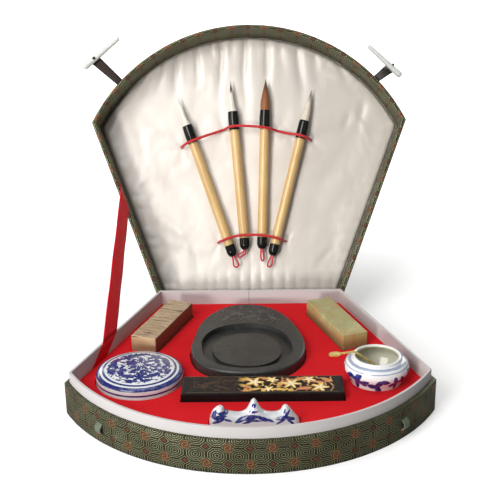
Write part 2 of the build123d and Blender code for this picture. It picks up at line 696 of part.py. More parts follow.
def ribbon_stay():
    lean = math.radians(LID_LEAN)
    turn = SIDE_ANGLE
    collar_front = Vector(-math.sin(turn), -math.cos(turn), 0)
    collar_inward = Vector(math.cos(turn), -math.sin(turn), 0)
    low_x = -(BACK_WIDTH / 2 + STAY_LOW * SIDE_SLOPE - COLLAR_IN / math.cos(turn))
    low = Vector(low_x, -STAY_LOW, COLLAR_TOP)
    high_x = -(BACK_WIDTH / 2 + STAY_HIGH * SIDE_SLOPE - LID_WALL / math.cos(turn))
    rim_up = Vector(-math.sin(turn), math.cos(turn) * math.sin(lean), math.cos(turn) * math.cos(lean))
    wall_inward = Vector(math.cos(turn), math.sin(turn) * math.sin(lean), math.sin(turn) * math.cos(lean))
    deeper = Vector(0, math.cos(lean), -math.sin(lean))
    high = lid_point(high_x, STAY_HIGH, -0.3) + wall_inward * 0.1
    run = (high - low).normalized()
    low_angle = math.acos(-run.dot(collar_front))
    high_angle = math.acos(run.dot(rim_up))
    drop = COLLAR_TOP - INSERT_TOP - 0.1
    tuck = 12.0

    def strip_end(centre, along, inward, angle):
        reach = along * (STAY_WIDTH / 2 / math.sin(angle))
        thick = inward * STAY_THICK
        return [centre - reach, centre + reach, centre + reach + thick, centre - reach + thick]

    low_tail = low + collar_front * (drop / math.tan(low_angle)) + Vector(0, 0, -drop)
    high_tail = high + rim_up * (tuck / math.tan(high_angle)) + deeper * tuck
    print("ribbon stay: free run", round((high - low).length, 1), "width", STAY_WIDTH)
    return strip_solid([
        strip_end(low_tail, collar_front, collar_inward, low_angle),
        strip_end(low, collar_front, collar_inward, low_angle),
        strip_end(high, rim_up, wall_inward, high_angle),
        strip_end(high_tail, rim_up, wall_inward, high_angle),
    ])


# ---------------------------------------------------------------- assembly and export
BASE_PLACE = Pos(0, DEPTH / 2, 0)
LID_PLACE = Pos(0, DEPTH / 2, BASE_HEIGHT) * Rot(-(90 + LID_LEAN), 0, 0)
TOGGLE_LEFT_X = -135.4
TOGGLE_RIGHT_X = 134.6
CLASP_LEFT_X = -127.5
CLASP_RIGHT_X = 131.0


def whole():
    base = base_shell()
    base.update(insert())
    base["clasp_loops"] = Compound([clasp_loop(CLASP_LEFT_X), clasp_loop(CLASP_RIGHT_X)])
    base["hinge_cloth"] = hinge_cloth()
    base["ribbon_stay"] = ribbon_stay()
    base["ink_stone"] = ink_stone()
    base["seal_left"] = seal(-1, SEAL_LEFT)
    base["seal_right"] = seal(1, SEAL_RIGHT)
    base["paste_bowl"] = paste_bowl()
    base["paste_lid"] = paste_lid()
    base["cinnabar_paste"] = cinnabar_paste()
    base["water_pot"] = water_pot()
    base["spoon"] = spoon()
    base["ink_stick"] = ink_stick()
    base["brush_rest"] = brush_rest()
    lid = lid_shell()
    lid.update(brushes())
    lid["cord_upper"] = elastic_cord(UPPER_CORD, UPPER_RADII)
    lid["cord_lower"] = elastic_cord(LOWER_CORD, LOWER_RADII)
    left = toggle_place(TOGGLE_LEFT_X, 0)
    right = toggle_place(TOGGLE_RIGHT_X, RIGHT_TILT)
    lid["toggle_ribbon_left"] = left * toggle_ribbon()
    lid["toggle_peg_left"] = left * toggle_peg(1)
    lid["toggle_ribbon_right"] = right * toggle_ribbon()
    lid["toggle_peg_right"] = right * toggle_peg(-1)
    placed = {name: BASE_PLACE * shape for name, shape in base.items()}
    placed.update({name: LID_PLACE * shape for name, shape in lid.items()})
    return placed


os.makedirs("parts", exist_ok=True)
for name, shape in whole().items():
    export_step(shape, "parts/" + name + ".step")
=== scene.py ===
import bpy
import bmesh
import random
from math import acos, atan, atan2, cos, exp, hypot, log1p, pi, radians, sin, sqrt, tan
from mathutils import Matrix, Vector, noise as mnoise


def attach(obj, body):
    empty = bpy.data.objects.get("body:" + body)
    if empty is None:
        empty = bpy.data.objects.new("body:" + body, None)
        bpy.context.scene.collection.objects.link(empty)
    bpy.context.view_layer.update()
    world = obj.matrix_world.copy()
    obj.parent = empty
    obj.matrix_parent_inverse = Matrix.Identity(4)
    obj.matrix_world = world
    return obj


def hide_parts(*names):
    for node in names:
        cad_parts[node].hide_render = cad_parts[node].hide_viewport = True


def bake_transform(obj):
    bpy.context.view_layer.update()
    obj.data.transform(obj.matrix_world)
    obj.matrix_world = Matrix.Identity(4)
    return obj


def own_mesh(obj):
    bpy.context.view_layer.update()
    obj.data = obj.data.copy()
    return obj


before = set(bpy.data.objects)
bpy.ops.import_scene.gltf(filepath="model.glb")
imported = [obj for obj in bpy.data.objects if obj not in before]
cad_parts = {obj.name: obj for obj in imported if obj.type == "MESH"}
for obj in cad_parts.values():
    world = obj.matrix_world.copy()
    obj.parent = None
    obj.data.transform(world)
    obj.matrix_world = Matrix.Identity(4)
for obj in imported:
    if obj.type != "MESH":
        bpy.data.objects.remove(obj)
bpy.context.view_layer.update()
MM = 0.001
TURN = 2 * pi

# ---------------------------------------------------------------- sizes shared with the CAD, in mm
BACK_WIDTH = 193
CORNER_WIDTH = 330
CORNER_DEPTH = 184
DEPTH = 286
BASE_HEIGHT = 30.6
LID_HEIGHT = 48.5
INSERT_TOP = 25.4
COLLAR_TOP = 40.5                   # height of the collar's rim above the floor
COLLAR_IN = 6.4                     # inset of the collar's inner face
BOARD_IN = 4                        # inset of the boards' inner face, with their cloth
SATIN_FACE = 40                     # depths below the lid's rim
LINING_FACE = 44
LEAN = radians(23.2)                # of the open lid, from upright
SLOPE = (CORNER_WIDTH - BACK_WIDTH) / 2 / CORNER_DEPTH
SIDE = atan(SLOPE)
SAG = DEPTH - CORNER_DEPTH
ARC_R = ((CORNER_WIDTH / 2) ** 2 + SAG ** 2) / (2 * SAG)
ARC_Y = -(DEPTH - ARC_R)
ARC_RUN = 2 * atan2(CORNER_WIDTH / 2, CORNER_DEPTH + ARC_Y) * ARC_R
SIDE_RUN = hypot(CORNER_DEPTH, (CORNER_WIDTH - BACK_WIDTH) / 2)
BRUSH_DEPTH = 33.8
BRUSHES = [                         # cap and tip of each: x, distance up the lid
    ((-18.3, 43.2), (-78, 217)),
    ((-5.3, 50.2), (-20.1, 234)),
    ((12.6, 50.9), (18.6, 235)),
    ((23.8, 43.6), (68.4, 222)),
]
COS, SIN = cos(LEAN), sin(LEAN)
LID_X = Vector((1, 0, 0))
LID_UP = Vector((0, SIN, COS))
LID_DEEP = Vector((0, COS, -SIN))
LID_ORIGIN = Vector((0, DEPTH / 2, BASE_HEIGHT)) * MM


def base_point(x, y, z):
    return Vector((x, y + DEPTH / 2, z)) * MM


def lid_point(x, up, deep):
    return Vector((x, DEPTH / 2 + up * SIN + deep * COS, BASE_HEIGHT + up * COS - deep * SIN)) * MM


def link(o):
    bpy.context.scene.collection.objects.link(o)
    return o


# ---------------------------------------------------------------- camera, as fitted to the photograph
PHOTO_PIXELS, FOCAL_PIXELS, SENSOR = 500, 1091.56, 36
CAMERA_PLACE = (0.00631, -0.89953, 0.49191)
PITCH, YAW, ROLL = radians(21.425), radians(-0.341), radians(-0.68)


def set_camera():
    ahead = Vector((sin(YAW) * cos(PITCH), cos(YAW) * cos(PITCH), -sin(PITCH)))
    right = Vector((cos(YAW), -sin(YAW), 0))
    up = right.cross(ahead)
    right, up = right * cos(ROLL) + up * sin(ROLL), up * cos(ROLL) - right * sin(ROLL)
    data = bpy.data.cameras.new("camera")
    data.sensor_width = SENSOR
    data.lens = FOCAL_PIXELS / PHOTO_PIXELS * SENSOR
    cam = link(bpy.data.objects.new("camera", data))
    cam.matrix_world = Matrix.Translation(CAMERA_PLACE) @ Matrix((right, up, -ahead)).transposed().to_4x4()
    bpy.context.scene.camera = cam


set_camera()


# ---------------------------------------------------------------- shader graphs
class Val:
    """An output socket of a tree's node, for use in sums."""

    def __init__(self, g, socket):
        self.g = g
        self.s = socket

    def __add__(self, o): return self.g.math("ADD", self, o)
    def __radd__(self, o): return self.g.math("ADD", o, self)
    def __sub__(self, o): return self.g.math("SUBTRACT", self, o)
    def __rsub__(self, o): return self.g.math("SUBTRACT", o, self)
    def __mul__(self, o): return self.g.math("MULTIPLY", self, o)
    def __truediv__(self, o): return self.g.math("DIVIDE", self, o)


class Tree:
    """The node tree of a material or a world."""

    def __init__(self, owner, out="OutputMaterial"):
        owner.use_nodes = True
        self.tree = owner.node_tree
        self.tree.nodes.clear()
        self.out = self.node(out)

    def node(self, kind, inputs=(), **attrs):
        n = self.tree.nodes.new("ShaderNode" + kind)
        for key, value in attrs.items():
            setattr(n, key, value)
        for key, value in dict(inputs).items():
            self.put(n.inputs[key], value)
        return n

    def put(self, socket, value):
        if isinstance(value, Val):
            self.tree.links.new(value.s, socket)
        elif socket.type == "RGBA":
            socket.default_value = (*value, 1)
        else:
            socket.default_value = value

    def make(self, kind, inputs=(), out=0, **attrs):
        return Val(self, self.node(kind, inputs, **attrs).outputs[out])

    def end(self, shader):
        self.put(self.out.inputs[0], shader)

    def math(self, op, *args): return self.make("Math", enumerate(args), operation=op)
    def sin(self, a): return self.math("SINE", a)
    def cos(self, a): return self.math("COSINE", a)
    def fract(self, a): return self.math("FRACT", a)
    def floor(self, a): return self.math("FLOOR", a)
    def abs(self, a): return self.math("ABSOLUTE", a)
    def max(self, a, b): return self.math("MAXIMUM", a, b)
    def less(self, a, b): return self.math("LESS_THAN", a, b)
    def length(self, x, y): return self.math("SQRT", x * x + y * y)
    def angle(self, x, y): return self.math("ARCTAN2", y, x)
    def fade(self, x, a, b): return 1 - self.smooth(x, a, b)

    def smooth(self, x, a, b):
        return self.make("MapRange", {"Value": x, "From Min": a, "From Max": b},
                         interpolation_type="SMOOTHSTEP")

    def split(self, vec):
        return [Val(self, o) for o in self.node("SeparateXYZ", {0: vec}).outputs]

    def join(self, x, y, z):
        return self.make("CombineXYZ", enumerate((x, y, z)))

    def scaled(self, vec, scale):
        return self.make("Mapping", {"Vector": vec, "Scale": scale})

    def noise(self, vec, scale, detail=3, rough=0.5, warp=0):
        return self.make("TexNoise", {"Vector": vec, "Scale": scale, "Detail": detail, "Roughness": rough,
                                      "Distortion": warp})

    def field(self, x, y, z, *look):
        """Noise over three values that are already scaled."""
        return self.noise(self.join(x, y, z), 1, *look)

    def over(self, under, *layers):
        """Lay (mask, colour) layers on a colour, in that order."""
        for mask, color in layers:
            under = self.mix(mask, under, color)
        return under

    def cells(self, vec, scale):
        return self.make("TexVoronoi", {"Vector": vec, "Scale": scale}, "Distance")

    def mix(self, fac, a, b):
        return self.make("Mix", {0: fac, 6: a, 7: b}, 2, data_type="RGBA")

    def ramp(self, fac, *stops):
        n = self.node("ValToRGB", {0: fac})
        while len(n.color_ramp.elements) < len(stops):
            n.color_ramp.elements.new(0.5)
        for e, (place, color) in zip(n.color_ramp.elements, stops):
            e.position = place
            e.color = (*color, 1)
        return Val(self, n.outputs[0])

    def bump(self, height, distance, strength, under=None):
        inputs = {"Strength": strength, "Distance": distance, "Height": height}
        if under is not None:
            inputs["Normal"] = under
        return self.make("Bump", inputs)


class Graph(Tree):
    """A material with one Principled shader. Keywords are its sockets, with _ for a space."""

    def __init__(self, name, color, rough, **sockets):
        self.mat = bpy.data.materials.new(name)
        super().__init__(self.mat)
        self.coords = self.node("TexCoord")
        self.bsdf = self.node("BsdfPrincipled", {key.replace("_", " "): v for key, v in sockets.items()})
        self.surface(color, rough=rough)
        self.end(Val(self, self.bsdf.outputs[0]))

    def surface(self, color, normal=None, rough=None, metal=None):
        for key, value in (("Base Color", color), ("Normal", normal), ("Roughness", rough),
                           ("Metallic", metal)):
            if value is not None:
                self.put(self.bsdf.inputs[key], value)
        return self

    def coord(self, kind="Object"):
        return Val(self, self.coords.outputs[kind])

    def grain(self, scale, *look):
        """Noise over the object's own coordinates."""
        return self.noise(self.coord(), scale, *look)

    def local(self, origin, *axes):
        """Distances from origin along the axes, in mm."""
        away = self.make("VectorMath", {0: self.coord(), 1: origin}, operation="SUBTRACT")
        return [self.make("VectorMath", {0: away, 1: axis}, "Value", operation="DOT_PRODUCT") * 1000
                for axis in axes]

    def around(self, place, turn=0):
        """Distances from a place in the base along its own axes, turned about z, in mm."""
        c, s = cos(turn), sin(turn)
        return self.local(base_point(*place), (c, s, 0), (-s, c, 0), (0, 0, 1))


def paint(node, graph):
    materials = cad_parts[node].data.materials
    materials.clear()
    materials.append(graph.mat)


def shade(color, k):
    return tuple(v * k for v in color)


# ---------------------------------------------------------------- mesh helpers
def piece(name, verts, faces, uvs, mat, body, node, smooth=True):
    me = bpy.data.meshes.new(name)
    me.from_pydata([tuple(v) for v in verts], [], faces)
    if uvs is not None:
        layer = me.uv_layers.new(name="UVMap")
        for loop in me.loops:
            layer.data[loop.index].uv = uvs[loop.vertex_index]
    if smooth:
        me.shade_smooth()
    me.validate()
    me.materials.append(mat.mat)
    o = link(bpy.data.objects.new(name, me))
    if body:
        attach(o, body)
    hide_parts(node)
    return o


def outward(o):
    bm = bmesh.new()
    bm.from_mesh(o.data)
    bmesh.ops.recalc_face_normals(bm, faces=bm.faces)
    bm.to_mesh(o.data)
    bm.free()


def grid_faces(rows, cols, wrap=False, start=0):
    faces = []
    for i in range(rows - 1):
        a, b = start + i * cols, start + (i + 1) * cols
        for j in range(cols if wrap else cols - 1):
            k = (j + 1) % cols
            faces.append((a + j, a + k, b + k, b + j))
    return faces


def tube_faces(rows, cols, start=0):
    """Faces of a grid wrapped round and closed at both ends."""
    last = start + (rows - 1) * cols
    return grid_faces(rows, cols, True, start) + [
        tuple(range(start + cols - 1, start - 1, -1)), tuple(range(last, last + cols))]


def between(table, z):
    """Linear interpolation in a table of (place, value)."""
    for (a, va), (b, vb) in zip(table, table[1:]):
        if z <= b + 1e-6:
            return va + (vb - va) * (z - a) / (b - a)


def back_corner(s):
    return BACK_WIDTH / 2 + s * SLOPE - s / cos(SIDE), -s


def front_corner(s):
    """Where the side line, s further in, meets the arc, s further in."""
    a = BACK_WIDTH / 2 - s / cos(SIDE)
    k = a * SLOPE + ARC_Y
    one = 1 + SLOPE * SLOPE
    down = (-k + sqrt(k * k - one * (a * a + ARC_Y ** 2 - (ARC_R - s) ** 2))) / one
    return a + SLOPE * down, -down


ARC_STEPS, SIDE_STEPS, BACK_STEPS = 65, 30, 32


def outline(s):
    """Points of the fan at inset s, anticlockwise from above, each with its run along the outer face."""
    (bx, by), (fx, fy) = back_corner(s), front_corner(s)
    half, r = atan2(fx, ARC_Y - fy), ARC_R - s
    pts = []
    for i in range(ARC_STEPS):
        t = i / ARC_STEPS
        a = half * (2 * t - 1)
        pts.append((r * sin(a), ARC_Y - r * cos(a), ARC_RUN * (t - 0.5)))
    run = ARC_RUN / 2
    for x0, y0, x1, y1, steps, long in (
            (fx, fy, bx, by, SIDE_STEPS, SIDE_RUN), (bx, by, -bx, by, BACK_STEPS, BACK_WIDTH),
            (-bx, by, -fx, fy, SIDE_STEPS, SIDE_RUN)):
        for i in range(steps):
            t = i / steps
            pts.append((x0 + (x1 - x0) * t, y0 + (y1 - y0) * t, run + long * t))
        run += long
    return pts + [(-fx, fy, run)]


def skirt(name, profile, place, mat, body, node):
    """A cloth skin swept round the fan outline; profile is a list of (inset, height)."""
    verts, uvs = [], []
    run = 0
    for i, (s, h) in enumerate(profile):
        if i:
            run += hypot(s - profile[i - 1][0], h - profile[i - 1][1])
        for x, y, a in outline(s):
            verts.append(place(x, y, h))
            uvs.append((a, run))
    return piece(name, verts, grid_faces(len(profile), len(outline(0))), uvs, mat, body, node)


def band(name, rows, widths, thick, mat, body, node, edge=1, start=True, end=True):
    """A ribbon with two faces from rows of (points across, normal), with its length in mm.

    thick is half the thickness, times edge at the margins. UV in mm: u across, v along.
    """
    verts, uvs = [], []
    run = 0
    k = len(rows[0][0]) - 1
    for s, (row, normal) in enumerate(rows):
        if s:
            run += (row[k // 2] - rows[s - 1][0][k // 2]).length / MM
        for side in (1, -1):
            for i in range(k + 1)[::side]:
                verts.append(row[i] + normal * (side * thick * (edge if i in (0, k) else 1)) * MM)
                uvs.append(((i / k - 0.5) * widths[s], run))
    cols = 2 * (k + 1)
    faces = grid_faces(len(rows), cols, wrap=True)
    if start:
        faces.append(tuple(range(cols)))
    if end:
        faces.append(tuple((len(rows) - 1) * cols + j for j in range(cols - 1, -1, -1)))
    return piece(name, verts, faces, uvs, mat, body, node), run


# ---------------------------------------------------------------- painted motifs
# Each is a height over x and y in mm, above 0 inside the motif
def leaf(g, x, y, cx, cy, long, wide, turn):
    c, s = cos(radians(turn)), sin(radians(turn))
    u = (x - cx) * (c / long) + (y - cy) * (s / long)
    v = (y - cy) * c - (x - cx) * s
    return 1 - u * u - g.abs(v) * (1 / wide)


def bloom(g, x, y, cx, cy, size, petals, turn):
    dx, dy = x - cx, y - cy
    return g.cos(g.angle(dx, dy) * float(petals) + turn) * 0.3 + 0.72 - g.length(dx, dy) * (1 / size)


def motifs(g, shape, x, y, *rows):
    """One mask of many leaves or blooms."""
    return most(g, *[shape(g, x, y, *row) for row in rows])


def most(g, first, *rest):
    for v in rest:
        first = g.max(first, v)
    return first


def vines(g, x, y, scale, seed, width):
    return 1 - g.abs(g.field(x * scale + seed, y * scale, 0, 1.5, 0.4) - 0.5) * (1 / width)


def scattered(g, x, y, cell, size, petals, seed):
    """Small blooms, one in each cell of an uneven net."""
    vec = g.join(x * (1 / cell) + seed, y * (1 / cell), 0)
    px, py, _ = g.split(g.make("TexVoronoi", {"Vector": vec, "Scale": 1, "Randomness": 0.75}, "Position",
                               voronoi_dimensions="2D"))
    vx, vy, _ = g.split(vec)
    return bloom(g, vx * cell, vy * cell, px * cell, py * cell, size, petals, px * 7)


# ---------------------------------------------------------------- brocade
REPEAT_U, REPEAT_V = 18, 15


def brocade(name, lift):
    """Octagons of nested lines, with copper rosettes and small crosses by turns between them."""
    g = Graph(name, (0.8, 0.8, 0.8), 0.4, Specular_IOR_Level=0.12)
    uv = g.coord("UV")
    u, v, _ = g.split(uv)
    wob = g.noise(uv, 0.05, 2) - 0.5
    px, py = (u + wob * 1.5) / REPEAT_U, (v + wob * 1) / REPEAT_V
    ax, ay = g.abs(g.fract(px) - 0.5), g.abs(g.fract(py) - 0.5)
    octagon = g.max(g.max(ax, ay), (ax + ay) * 0.7071)
    ring = g.abs(g.fract(octagon * 9.2 + 0.12) - 0.5)
    mx, my = (g.fract(px + 0.5) - 0.5) * REPEAT_U, (g.fract(py + 0.5) - 0.5) * REPEAT_V
    is_disc = g.less(g.fract((g.floor(px + 0.5) + g.floor(py + 0.5)) * 0.5), 0.25)
    is_cross = 1 - is_disc
    r, turn = g.length(mx, my), g.angle(mx, my)
    diamond = g.abs(mx) + g.abs(my)
    disc = g.fade(r + g.cos(turn * 8) * 0.35, 3.7, 4.4) * is_disc
    spiral = g.smooth(g.abs(g.fract(r * 0.42 + turn * 0.318) - 0.5), 0.16, 0.26) * g.smooth(r, 0.6, 1)
    halo = g.fade(g.abs(r - 5.1), 0.2, 0.5) * is_disc
    cross = g.fade(diamond, 1.6, 2.6) * is_cross
    crossline = g.fade(g.abs(diamond - 4), 0.2, 0.5) * is_cross
    thread = g.noise(g.scaled(uv, (1.1, 0.25, 1)), 1.6, 2)
    fray = g.noise(uv, 0.9, 4, 0.7)
    worn = g.smooth(g.noise(uv, 0.03, 3), 0.35, 0.7)
    lines = g.smooth(ring, 0.31, 0.42) * (1 - disc) * (1 - halo * 0.2) * (1 - cross)
    lines = lines * g.smooth(fray + worn * 0.05, 0.3, 0.56)
    # lift lightens the sage lines as painted light; 1 leaves them as they are
    sage = g.mix(worn * 0.5 + fray * 0.5, shade((0.19, 0.205, 0.105), lift), shade((0.42, 0.47, 0.29), lift))
    copper = g.mix(spiral, (0.07, 0.03, 0.014), (0.21, 0.108, 0.056))
    c = g.over(g.mix(thread, (0.008, 0.006, 0.003), (0.036, 0.027, 0.014)), (lines, sage),
               (halo * 0.7, (0.1, 0.09, 0.045)), (crossline * 0.5, (0.12, 0.075, 0.035)),
               (cross * 0.8, (0.13, 0.04, 0.026)), (disc, copper))
    height = lines * 0.6 + disc * 0.9 + halo * 0.4 + thread * 0.5 + fray * 0.4
    return g.surface(c, g.bump(height, 0.00022, 0.9), 0.5 - lines * 0.04 - disc * 0.08 + fray * 0.05,
                     lines * 0.92 + disc * 0.4)


# ---------------------------------------------------------------- plain stuffs
def paper(name, color, seam=None):
    """Paper over board, with a seam at that x in mm."""
    g = Graph(name, color, 0.62, Specular_IOR_Level=0.3)
    co = g.coord()
    fibre = g.noise(co, 900, 4, 0.65)
    c = g.mix(fibre * 0.5 + g.noise(co, 25, 3) * 0.5, shade(color, 0.9), color)
    if seam is None:
        return g.surface(c, g.bump(fibre, 0.00006, 0.6))
    line = g.fade(g.abs(g.split(co)[0] * 1000 - seam), 0.15, 0.5)
    return g.surface(g.mix(line * 0.75, c, shade(color, 0.45)), g.bump(fibre * 0.3 - line, 0.0003, 0.7))


def board():
    g = Graph("greyboard_pulp", (0.32, 0.3, 0.27), 0.85)
    fleck = g.grain(700, 5, 0.7)
    c = g.ramp(fleck, (0.3, (0.22, 0.2, 0.18)), (0.55, (0.36, 0.34, 0.31)), (0.75, (0.47, 0.45, 0.41)))
    return g.surface(c, g.bump(fleck, 0.0001, 0.6))


def flock():
    red, green, blue = color = (0.64, 0.01, 0.016)
    g = Graph("flock_red", color, 0.9, Sheen_Weight=0.1, Sheen_Roughness=0.5, Specular_IOR_Level=0.08,
              Sheen_Tint=(1, 0.1, 0.08))
    fuzz = g.grain(1800, 3, 0.7)
    patch = g.grain(35, 4, 0.6)
    c = g.mix(fuzz * 0.55 + patch * 0.45, (red * 0.8, green * 0.7, blue * 0.7),
              (red * 1.08, green * 1.5, blue * 1.4))
    return g.surface(c, g.bump(fuzz, 0.00018, 0.7, g.bump(patch, 0.0006, 0.25)))


def foam():
    g = Graph("foam_open", (0.55, 0.05, 0.04), 0.95)
    cell = g.cells(g.coord(), 700)
    return g.surface(g.mix(cell, (0.3, 0.02, 0.02), (0.62, 0.08, 0.06)), g.bump(cell, 0.0003, 0.8))


def satin():
    color, dark, rough = (0.735, 0.685, 0.63), (0.675, 0.625, 0.565), 0.32
    g = Graph("satin_ivory", color, rough, Sheen_Weight=0.15, Sheen_Roughness=0.3, Anisotropic=0.5,
              Specular_IOR_Level=0.75, Sheen_Tint=(1, 0.97, 0.93))
    x, up, deep = g.local(LID_ORIGIN, LID_X, LID_UP, LID_DEEP)
    warp = g.field(x * 9, up * 0.8, 0, 2)
    weft = g.field(x * 0.8, up * 9, 5, 2)
    cloud = g.field(x * 0.02, up * 0.02, 0, 3, 0.5, 0.6)
    slub = g.field(x * 0.3, up * 0.025, 2, 3, 0.5)
    crease = g.field(x * 0.045, up * 0.022, 8, 2, 0.4, 0.4)
    from_side = (BACK_WIDTH / 2 + up * SLOPE - g.abs(x)) * cos(SIDE)
    # painted shade where the satin sinks deep in its folds, away from the sides
    sunk_fold_shade = g.smooth(deep, 40.4, 41.8) * 0.55 * g.smooth(from_side, 9, 15)
    # painted shade: the satin darker towards its right side, where less light falls
    c = g.over(dark, (cloud * 0.5 + warp * 0.3 + slub * 0.2, color),
               (g.smooth(x, -10, 75) * 0.85, shade(dark, 0.74)), (sunk_fold_shade, shade(dark, 0.68)))
    under = g.bump(slub * 0.3 + crease, 0.001, 0.3)
    return g.surface(c, g.bump(warp + weft * 0.6, 0.00005, 0.5, under), rough - 0.06 + warp * 0.12)


def ribbon(name, color, dark, lip_color, pitch, width, ribs_along=False):
    """For UV in mm: u across the ribbon, v along it."""
    g = Graph(name, color, 0.42, Specular_IOR_Level=0.15)
    u, v, _ = g.split(g.coord("UV"))
    rib = g.sin((u if ribs_along else v) * (TURN / pitch)) * 0.5 + 0.5
    thread = g.field(u * 3, v * 0.6, 0, 3, 0.6)
    wave = g.field(u * 0.05, v * 0.06, 1, 2)
    lip = g.smooth(g.abs(u), width / 2 - 1.1, width / 2 - 0.7)
    c = g.over(dark, (rib * 0.35 + thread * 0.35 + wave * 0.3, color), (lip * 0.5, lip_color))
    return g.surface(c, g.bump(rib * 0.7 + thread * 0.5 + lip * 0.8, 0.00012, 0.7))


def cord_stuff(name, color, turns):
    """Twisted cord, for a curve's own UV."""
    red, green, blue = color
    g = Graph(name, color, 0.5, Sheen_Weight=0.1, Sheen_Roughness=0.4, Specular_IOR_Level=0.3)
    u, v, _ = g.split(g.coord("UV"))
    twist = g.sin((u * turns + v * 2) * TURN) * 0.5 + 0.5
    fuzz = g.grain(1500, 3, 0.7)
    c = g.mix(twist * 0.7 + fuzz * 0.3, shade(color, 0.45), (red * 1.25, green * 2.2, blue * 2.2))
    return g.surface(c, g.bump(twist + fuzz * 0.3, 0.0003, 0.8))


def horn():
    g = Graph("horn_black", (0.005, 0.005, 0.005), 0.12, Specular_IOR_Level=0.28)
    streak = g.noise(g.scaled(g.coord(), (1, 1, 0.12)), 260, 4, 0.6)
    scuff = g.smooth(g.grain(900, 3, 0.7), 0.55, 0.8)
    return g.surface(g.mix(streak, (0.003, 0.003, 0.003), (0.01, 0.01, 0.009)), g.bump(streak, 0.00004, 0.3),
                     0.08 + scuff * 0.1)


def metal_brass():
    g = Graph("brass_spoon", (0.62, 0.44, 0.17), 0.26, Metallic=0.6)
    tarnish = g.grain(260, 4, 0.65)
    c = g.ramp(tarnish, (0.3, (0.5, 0.32, 0.08)), (0.55, (0.78, 0.56, 0.18)), (0.75, (0.9, 0.72, 0.32)))
    return g.surface(c, g.bump(tarnish, 0.0001, 0.4), 0.18 + tarnish * 0.25)


def cinnabar():
    g = Graph("cinnabar_paste", (0.45, 0.01, 0.008), 0.35, Coat_Weight=0.3)
    n = g.grain(240, 5, 0.65, 0.8)
    return g.surface(g.mix(n, (0.26, 0.004, 0.004), (0.6, 0.02, 0.012)), g.bump(n, 0.0009, 0.7))


def bone():
    g = Graph("bone_peg", (0.62, 0.63, 0.61), 0.3, Subsurface_Weight=0.2,
              Subsurface_Radius=(0.004, 0.003, 0.002), Coat_Weight=0.2, Coat_Roughness=0.15)
    grain = g.noise(g.scaled(g.coord(), (1, 4, 4)), 130, 4, 0.6)
    pit = g.smooth(g.grain(1500, 2), 0.62, 0.75)
    c = g.over((0.5, 0.51, 0.49), (grain, (0.66, 0.67, 0.65)), (pit * 0.15, (0.42, 0.4, 0.34)))
    return g.surface(c, g.bump(grain, 0.00006, 0.4), 0.2 + grain * 0.15)


def clasp_cloth():
    g = Graph("clasp_cloth", (0.2, 0.23, 0.17), 0.46, Sheen_Weight=0.1, Sheen_Roughness=0.35,
              Specular_IOR_Level=0.35)
    rib = g.sin(g.split(g.coord())[2] * (TURN / 0.0009)) * 0.5 + 0.5
    n = g.grain(420, 3, 0.6)
    return g.surface(g.mix(rib * 0.4 + n * 0.6, (0.03, 0.038, 0.026), (0.2, 0.235, 0.17)),
                     g.bump(rib + n * 0.4, 0.00015, 0.7))


# ---------------------------------------------------------------- stones
POLISH = {"Coat_Weight": 0.08, "Coat_Roughness": 0.2, "Specular_IOR_Level": 0.3}


def slate():
    g = Graph("slate_ink", (0.03, 0.03, 0.032), 0.5, Specular_IOR_Level=0.5)
    co = g.coord()
    x, y, z = g.around((0, 0, 0))
    speck = g.smooth(g.cells(co, 420), 0, 0.28)
    scratch = g.smooth(g.field(x * 0.07, y * 2.2, 4, 3, 0.6), 0.56, 0.72)
    grain = g.noise(co, 620, 5, 0.7) * 0.8 + scratch * 0.3
    head = g.smooth(y, -76, -70) * g.fade(g.math("SQRT", x * x * 0.9 + (y + 70) * (y + 70) * 0.6), 34, 38)
    carved = most(g, motifs(g, bloom, x, y, (-12, -50, 8.5, 5, 0.6), (11, -45, 6, 5, 1.6)),
                  motifs(g, leaf, x, y, (0, -58, 10, 2.6, 20), (-24, -62, 8, 2.4, 55),
                         (22, -60, 8, 2.4, -50)),
                  vines(g, x, y, 0.11, 3, 0.035) * 0.5)
    relief = g.smooth(carved, 0.02, 0.35) * head * g.smooth(z, 33.6, 34.2)
    c = g.ramp(g.noise(co, 40, 4, 0.6) * 0.45 + grain * 0.55, (0.3, (0.01, 0.011, 0.01)),
               (0.52, (0.029, 0.03, 0.029)), (0.72, (0.08, 0.082, 0.079)))
    c = g.over(c, (scratch * 0.3, (0.125, 0.127, 0.122)), (relief * 0.45, (0.105, 0.106, 0.104)))
    return g.surface(c, g.bump(relief, 0.0012, 1, g.bump(grain + speck * 0.4, 0.00022, 0.7)),
                     0.34 + grain * 0.22 - relief * 0.1)


